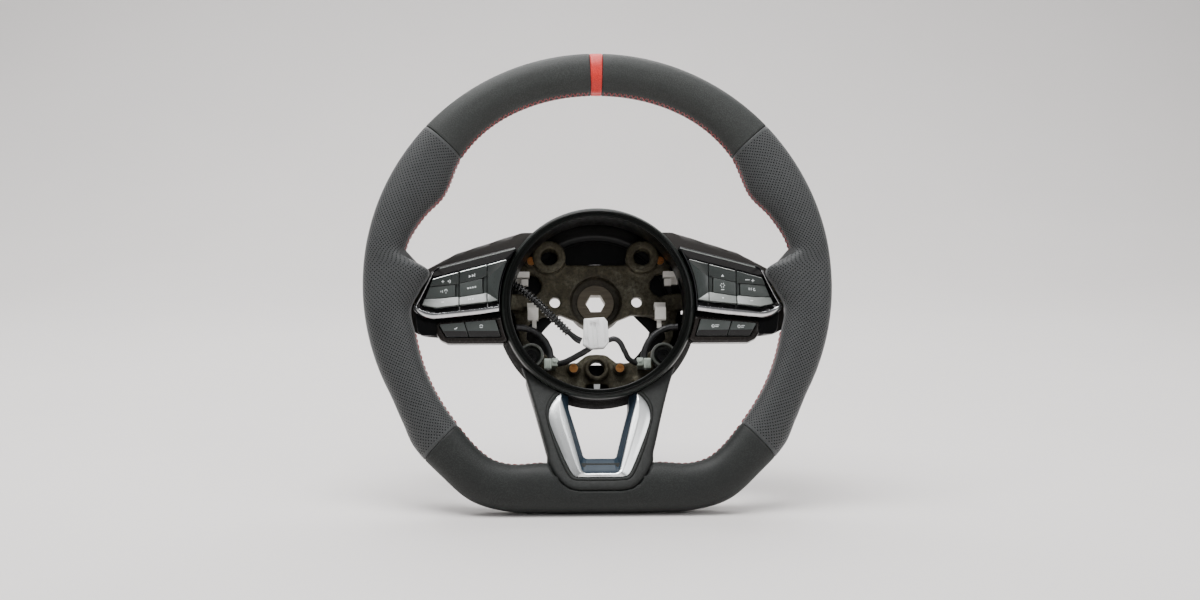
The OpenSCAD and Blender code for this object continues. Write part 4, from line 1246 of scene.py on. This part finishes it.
# x, rear depth, highest and lowest z at the front, then at the rear
STATIONS = [(60, -16, 50, -37, 36, -28), (112, -31, 33, -36, 20, -28), (138, -43, 19, -34, 9, -27),
            (WING_END, -54, 3, -29, 0, -24)]


def wing_section(x):
    """Rounded section of a side spoke's rear shell at x, as y and z."""
    xs = [s[0] for s in STATIONS]
    rear, low, high, rear_high, rear_low = [float(np.interp(x, xs, [s[k] for s in STATIONS]))
                                            for k in (1, 3, 2, 4, 5)]
    middle = (rear - 58) / 2
    corners = [(-58.2, low), (-58.2, high), (middle, high - 1), (rear, rear_high), (rear, rear_low),
               (middle, low + 1)]
    ring = fillet([(y, z) for y, z in corners], [0.5, 1.2, 6, 7, 6, 6], 6)
    both = np.vstack([ring, ring[:1]])
    run = running(both)
    at = np.linspace(0, run[-1], 97)[:-1]
    return np.stack([np.interp(at, run, both[:, 0]), np.interp(at, run, both[:, 1])], 1)


# The bowl's outside, which the wing starts from
BOWL_Y, BOWL_R = [-57, -48, -38, -26, -14, -6], [78, 80, 81.6, 80.6, 76.6, 69]


def wing_shape():
    xs = np.concatenate([np.linspace(60, 146.5, 44), [147.3, 147.9, 148.3, WING_END]])
    table = np.array([wing_section(x) for x in xs])
    middle = table.mean(axis=1, keepdims=True)
    for k, shrink in ((-3, 0.97), (-2, 0.92), (-1, 0.85)):
        table[k] = middle[k] + (table[k] - middle[k]) * shrink
    start = []
    for j in range(table.shape[1]):
        x = 66.0
        for _ in range(12):
            y, z = np.interp(x, xs, table[:, j, 0]), np.interp(x, xs, table[:, j, 1])
            bowl = 77.6 if y < -56.6 else float(np.interp(y, BOWL_Y, BOWL_R))
            x = math.sqrt(max(bowl ** 2 - (z - HUB[1]) ** 2, 400))
        start.append(x)
    start = np.array(start)
    loops = []
    for t in np.concatenate([np.linspace(0, 0.96, 40), [0.975, 0.985, 0.993, 1.0]]):
        x = start + (WING_END - start) * t
        y = np.array([np.interp(a, xs, table[:, j, 0]) for j, a in enumerate(x)])
        z = np.array([np.interp(a, xs, table[:, j, 1]) for j, a in enumerate(x)])
        loops.append(np.stack([x, y, z], 1))
    return Build().add(*loft(loops))


wing = wing_shape()
for side, sign in SIDES:
    wing.piece(f"{side}_spoke_shell", "wing_brown", sign, stands_for=[f"{side}_spoke_back"],
               slot="satin_black", sharp=60)

# ---------------------------------------------------------------- hub ring and bowl
RING = [(69, -69.3), (69.2, -69.85), (69.8, -70.1), (71.5, -70.2), (71.75, -69.6), (72.1, -69.6),
        (72.35, -70.2), (73.4, -70.2), (74.6, -69.8), (75.7, -68.8), (76.4, -67.2), (76.8, -64.5),
        (77, -60.5), (77, -57), (72.5, -57), (72.5, -40), (69, -40)]
TAB_X, TAB_Z = 53.0, -47.5


def tab_shape(sign):
    """A screw seat: a cup with a raised rim, trimmed where it meets the ring's wall."""
    profile = fillet([(2.2, -37), (7.4, -37), (7.9, -45), (9.7, -45), (10.2, -42), (10, -33.2), (2.2, -33.2)],
                     0.4, 2)
    verts, faces = lathe(profile, 72, (sign * TAB_X, TAB_Z))
    rel = verts[:, [0, 2]] - HUB
    far = np.linalg.norm(rel, axis=1)
    rel[far > 70.5] *= (70.5 / far[far > 70.5])[:, None]
    verts[:, 0], verts[:, 2] = rel[:, 0], rel[:, 1] + HUB[1]
    return verts, faces


profile = fillet(RING, 0.25, 2)
middles = (profile + np.roll(profile, -1, 0)) / 2
# Materials by place: 0 front, 1 inner wall (near-black, painted shade), 2 outer wall, 3 the rounded outer edge
# (lighter grey, painted highlight)
walls = [1 if r < 69.15 or y > -56 else 2 if r > 76.7 and y > -64 else 3 if r > 74 else 0 for r, y in middles]
ring = Build().add(*lathe(profile, 288), walls * 288).piece(
    "hub_ring", ["ring_black", "pit_black", "bowl_black", "ring_edge_painted_highlight"], stands_for=["hub_bezel"],
    slot="gloss_black", sharp=50)
cut(ring, *[box_shape(sorted((s * 62, s * 80)), (-56, -44), (4, 13)) for s in (-1, 1)],
    *[box_shape(sorted((s * 60, s * 80)), (-47.6, -41.4), (-28.1, -21.9)) for s in (-1, 1)])
seats = Build()
for s in (-1, 1):
    seats.add(*tab_shape(s))
seats.piece("hub_ring_seats", "tab_grey", stands_for=["hub_bezel"], slot="gloss_black", sharp=50)

BOWL = [(76.9, -56.8), (79.5, -48), (81, -38), (80, -26), (76, -14), (69, -6.5), (62.5, -5), (62.5, -7.7),
        (66, -8.4), (73, -16), (77, -27), (78, -38), (76.8, -47), (74.7, -56.8)]
profile = fillet(BOWL, [0.4, 9, 14, 16, 9, 5, 0.4, 0.4, 5, 7, 14, 14, 9, 0.4], 4)
middles = (profile + np.roll(profile, -1, 0)) / 2
half_way = np.interp(middles[:, 1], [-56.8, -48, -38, -26, -14, -6.5], [75.6, 78, 79.3, 78, 74, 67.5])
# The bowl's inner wall takes the near-black material: painted shade.
inner_wall = [int(v) for v in middles[:, 0] < half_way]
bowl = Build().add(*lathe(profile, 224), inner_wall * 224).piece(
    "hub_bowl", ["bowl_black", "pit_black"], stands_for=["back_cover"], slot="satin_black", sharp=50)
cut(bowl, *[box_shape(sorted((s * 60, s * 90)), (-46, -8), (-9.5, 7.5)) for s in (-1, 1)],
    *[box_shape(sorted((s * 28.5, s * 39.5)), (-58, -3), (-95, -50)) for s in (-1, 1)])
# Lip under the rear plate's edge, near-black webs that close the outer corners of the two windows as
# painted shade, and a tab behind the lower socket
webs = Build()
webs.add(*lathe([(61.2, -7.9), (62.8, -7.9), (62.8, -7.2), (61.2, -7.2)], 224))
for s in (-1, 1):
    web = [(28.6, -7.4), (50, -5), (50, -28), (46, -26), (41.4, -20.4)]
    webs.add(*plate([(s * x, z) for x, z in web][::s], -8.6, -7.6, 0.3, 2))
webs.add(*plate([(8, -70.4), (8, -52), (6.5, -50.5), (-6.5, -50.5), (-8, -52), (-8, -70.4)],
                -8.6, -7.6, 0.3, 2))
webs.piece("hub_bowl_shade_webs", "pit_black", stands_for=["back_cover"], slot="satin_black", sharp=50)


# ---------------------------------------------------------------- lower spoke
def mirrored_line(half):
    """Right half of a line from its upper end to the middle, continued up the left."""
    return half + [(-x, z) for x, z in half[-2::-1]]


RING_CLEAR = 77.35


def spoke_band(outer, inner, section, count):
    """A U-shaped band between matched lines. section(width, share, index) gives (distance, depth) round it."""
    a = flat_path(mirrored_line(outer), count)
    b = flat_path(mirrored_line(inner), count)
    loops = []
    for k, (p, q) in enumerate(zip(a, b)):
        width = max(float(np.linalg.norm(q - p)), 0.05)
        loop = []
        for s, d in section(width, k / (count - 1), k):
            point = p + (q - p) * (s / width)
            away = math.hypot(point[0], point[2] - HUB[1])
            if away < RING_CLEAR:
                point = np.array([point[0], 0, point[2] - HUB[1]]) * RING_CLEAR / away + [0, 0, HUB[1]]
            loop.append((point[0], float(face_y(point[2])) + d, point[2]))
        loops.append(loop)
    return loft(loops)


COVER_OUT = [(60.6, -59.4), (57.2, -69.0), (53.4, -81.5), (50.5, -92), (47.3, -104.5), (44.0, -118),
             (41.2, -129), (40.6, -136), (36.5, -145.3), (30.4, -153.0), (24, -157.3), (16, -158.9),
             (0, -159)]
TRIM_OUT = [(30.0, -81.2), (33.6, -84.6), (36.8, -89), (38.9, -94.4), (39.4, -100.2), (38.2, -106.4),
            (34.8, -116), (31.2, -125), (28.4, -132), (25.3, -139), (23.0, -143.6), (19.6, -147.4),
            (13, -148), (0, -148)]
TRIM_IN = [(29.8, -81.9), (28.9, -86.8), (27.6, -92), (26.0, -98), (24.2, -105), (21.6, -115.2),
           (19.0, -125.4), (17.2, -132.4), (15.5, -139), (14.3, -142.9), (11.6, -144.9), (6, -145), (0, -145)]
LINER_IN = [(24, -76), (24, -84), (23.6, -92.5), (21.4, -100.5), (18.8, -109.5), (16.2, -119), (14.0, -127.2),
            (12.9, -131.0), (10.6, -133.1), (6, -133.3), (0, -133.3)]
LINER_OUT = [(30.5, -76), (29.5, -84.5), (27.3, -93), (25.2, -101), (22.6, -111), (19.9, -121.5),
             (17.2, -132.2), (14.6, -142.2), (12.2, -144.8), (6, -145), (0, -145)]
WEDGE = [(-170, -60), (-138, -60), (-118, -46), (-92, -28), (-68, -8), (-50, -8)]
RIB_EVERY = 4


# Sections of the bands: w is the band's width, share and k say where along it
def cover_section(w, share, k):
    piping = -0.42 + (0.22 if k % RIB_EVERY < RIB_EVERY // 2 else 0.0)
    roll = min(4.2, w * 0.4)
    side = [(0.6, 13.5), (0.15, 9), (0, 4.6)]
    rolled = [(roll * (1 - math.cos(t)), 4.6 * (1 - math.sin(t)) ** 1.15)
              for t in np.linspace(0.25, math.pi / 2, 6)]
    front = [(roll + (w - 4.4 - roll) * 0.5, -0.05), (w - 4.4, 0.0), (w - 3.5, 0.12), (w - 3.25, 0.5),
             (w - 2.95, 0.12), (w - 2.5, piping + 0.15), (w - 1.9, piping), (w - 1.3, piping + 0.15),
             (w - 0.85, 0.15), (w - 0.5, 0.7), (w - 0.1, 0.8), (w - 0.05, 1.7), (w + 0.6, 1.8),
             (w + 0.6, 3.2)]
    return side + rolled + front + [(2.4, 3.4), (2.5, 13.5)]


def trim_section(w, share, k):
    lift = min(1.0, w / 6)
    return [(0, 1.5), (0, 0.45), (0.03 * w, 0.15), (0.3 * w, -0.62 * lift), (0.56 * w, -1.3 * lift),
            (0.64 * w, -1.56 * lift), (0.70 * w, -1.56 * lift), (0.88 * w, -1.1 * lift),
            (0.96 * w, -0.75 * lift), (w, -0.3 * lift), (w, 1.5)]


def liner_section(w, share, k):
    # The ledge at the foot of the V is shallower than the walls on its two sides
    along = abs(share - 0.5) * 2
    deep = 9.0 - 4.6 * max(0.0, 1 - max(0.0, along - 0.145) / 0.05)
    return [(0.1, 3.2), (0.1, 1.7), (0.5, 1.55), (w * 0.3, 1.7 + 0.24 * deep), (w - 0.5, deep),
            (w, deep + 0.6), (w, deep + 8), (w - 1.8, deep + 8), (w - 1.8, deep + 1.8), (w * 0.3, 4.6)]


Build().add(*spoke_band(COVER_OUT, TRIM_OUT, cover_section, 640)).piece(
    "lower_spoke_skin", "textured_grey", stands_for=["lower_spoke_cover"], slot="textured_grey", sharp=45)
Build().add(*spoke_band(TRIM_OUT, TRIM_IN, trim_section, 300)).piece(
    "v_trim_bar", "satin_silver", stands_for=["v_trim"], slot="satin_silver", sharp=30)
liner = Build()
liner.add(*spoke_band(LINER_OUT, LINER_IN, liner_section, 260))


def tunnel_section():
    """The liner's tunnel: a wall that follows the opening back to the rear of the spoke."""
    line = flat_path(mirrored_line(LINER_IN), 200)
    away = np.gradient(line, axis=0)
    out = unit(np.stack([-away[:, 2], np.zeros(len(line)), away[:, 0]], 1))
    if (out[len(out) // 2] @ np.array([0, 0, 1])) > 0:
        out = -out
    rear = lambda z: float(np.interp(z, [w[0] for w in WEDGE], [w[1] for w in WEDGE])) - 0.4
    loops = []
    for p, n in zip(line, out):
        q = p + 1.8 * n
        front = float(face_y(p[2])) + 9.5
        loops.append([(p[0], front, p[2]), (p[0], rear(p[2]), p[2]), (q[0], rear(q[2]), q[2]),
                      (q[0], front, q[2])])
    return loft(loops)


liner.add(*tunnel_section())
liner.piece("v_liner_shell", "liner", stands_for=["v_trim_liner"], slot="gloss_blue_grey", sharp=40)


# ---------------------------------------------------------------- CAD nodes that stay
# Each node's material, both sides alike; nodes that are not named here are behind a piece
LOOKS = {
    "armature": "cast_magnesium", "hub_insert": "dark_steel", "rim_core": "bright_steel", "rim_foam": "foam",
    "module_clips": "black_screw", "frame_screws": "copper_screw", "bezel_screws": "black_screw",
    "cover_screws": "black_screw", "switch_plugs": "pale_plug", "centre_clip": "white_nylon",
    "main_connector": "white_nylon", "branch_connector": "grey_green_nylon", "hub_bezel": "ring_black",
    "back_cover": "satin_black", "rear_plate": "pit_black", "spoke_back": "wing_brown",
    "lower_spoke_back": "satin_black", "lower_spoke_cover": "textured_grey", "v_trim": "satin_silver",
    "v_trim_liner": "liner", "switch_frame": "gloss_black", "chrome_trim": "dark_chrome",
    "lower_frame": "brown_plastic", "switch_board": "board_green", "key_mat": "silicone",
    "conduit": "conduit_black", "lead": "tape_black", "arc_cable": "tape_black",
}
for name, node in NODES.items():
    look = LOOKS.get(name.removeprefix("left_").removeprefix("right_"), "key_plastic")
    node.data.materials.clear()
    node.data.materials.append(M[look])

BEVELS = {"hub_insert": 0.4, "frame_screws": 0.25, "bezel_screws": 0.3, "cover_screws": 0.3,
          "switch_plugs": 0.45, "centre_clip": 0.4, "rear_plate": 0.5, "lower_spoke_back": 1.2,
          "left_switch_board": 0.2, "right_switch_board": 0.2, "left_key_mat": 0.2, "right_key_mat": 0.2}
for name, width in BEVELS.items():
    bevel = NODES[name].modifiers.new("bevel", "BEVEL")
    bevel.width, bevel.segments = width * MM, 3
    bevel.limit_method, bevel.angle_limit = "ANGLE", math.radians(42)

# The casting: its edges and inner corners softened as a mould leaves them
cast = NODES["armature"]
remesh = cast.modifiers.new("cast", "REMESH")
remesh.mode, remesh.voxel_size, remesh.use_smooth_shade = "VOXEL", 1.25 * MM, True
soften = cast.modifiers.new("soften", "SMOOTH")
soften.factor, soften.iterations = 0.5, 4


# ---------------------------------------------------------------- stage and light
PAPER = (0.79, 0.76, 0.745)
n = Nodes("floor_paper")
n.set(Specular_IOR_Level=0.3)
shade = n.ramp(n.noise(3.0, 3), [(0.3, tuple(0.97 * c for c in PAPER)), (0.7, PAPER)])
n.finish(shade, n.remap(n.noise(40, 2), 0.3, 0.7, 0.6 - 0.04, 0.6 + 0.04))

FLOOR_TILT = math.radians(17)
graph = bpy.context.evaluated_depsgraph_get()
down = np.array([0, math.sin(FLOOR_TILT), -math.cos(FLOOR_TILT)])
lowest = -1e9
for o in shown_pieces():
    e = o.evaluated_get(graph)
    co = np.zeros(len(e.data.vertices) * 3)
    e.data.vertices.foreach_get("co", co)
    lowest = max(lowest, float((co.reshape(-1, 3) @ down).max()))
floor_mesh = bpy.data.meshes.new("floor")
profile = [(-7.0, 0.0), (-2.0, 0.0), (0.0, 0.0), (1.2, 0.0)]
profile += [(1.2 + 1.6 * math.sin(t), 1.6 * (1 - math.cos(t))) for t in np.linspace(0.12, math.pi / 2, 14)]
profile += [(2.8, 3.2), (2.8, 5.5)]
along = np.array([0, math.cos(FLOOR_TILT), math.sin(FLOOR_TILT)])
points, quads = [], []
for d, h in profile:
    for x in (-8.0, 8.0):
        points.append(np.array([x, 0, 0]) + along * d - down * (h - lowest))
for k in range(len(profile) - 1):
    quads.append((2 * k, 2 * k + 1, 2 * k + 3, 2 * k + 2))
floor_mesh.from_pydata([tuple(p) for p in points], [], quads)
floor_mesh.polygons.foreach_set("use_smooth", [True] * len(quads))
floor_mesh.materials.append(M["floor_paper"])
linked("floor", floor_mesh)


def area_light(name, place, aim, size, power):
    light = bpy.data.lights.new(name, "AREA")
    light.energy = power
    light.shape = "RECTANGLE"
    light.size, light.size_y = size
    o = linked(name, light)
    o.location = place
    o.rotation_mode = "QUATERNION"
    o.rotation_quaternion = (Vector(aim) - Vector(place)).to_track_quat("-Z", "Y")


area_light("key", (-0.35, -0.85, 1.75), (0, -0.05, 0), (1.7, 1.1), 70)
area_light("fill", (1.5, -1.6, 0.7), (0, -0.05, 0), (1.2, 1.2), 14)
area_light("top", (0, 0.75, 2.1), (0, 0.1, 0), (2.4, 1.4), 54)
world = bpy.data.worlds.new("world")
bpy.context.scene.world = world
world.use_nodes = True
world.node_tree.nodes["Background"].inputs["Color"].default_value = (0.93, 0.94, 0.96, 1)
world.node_tree.nodes["Background"].inputs["Strength"].default_value = 0.27
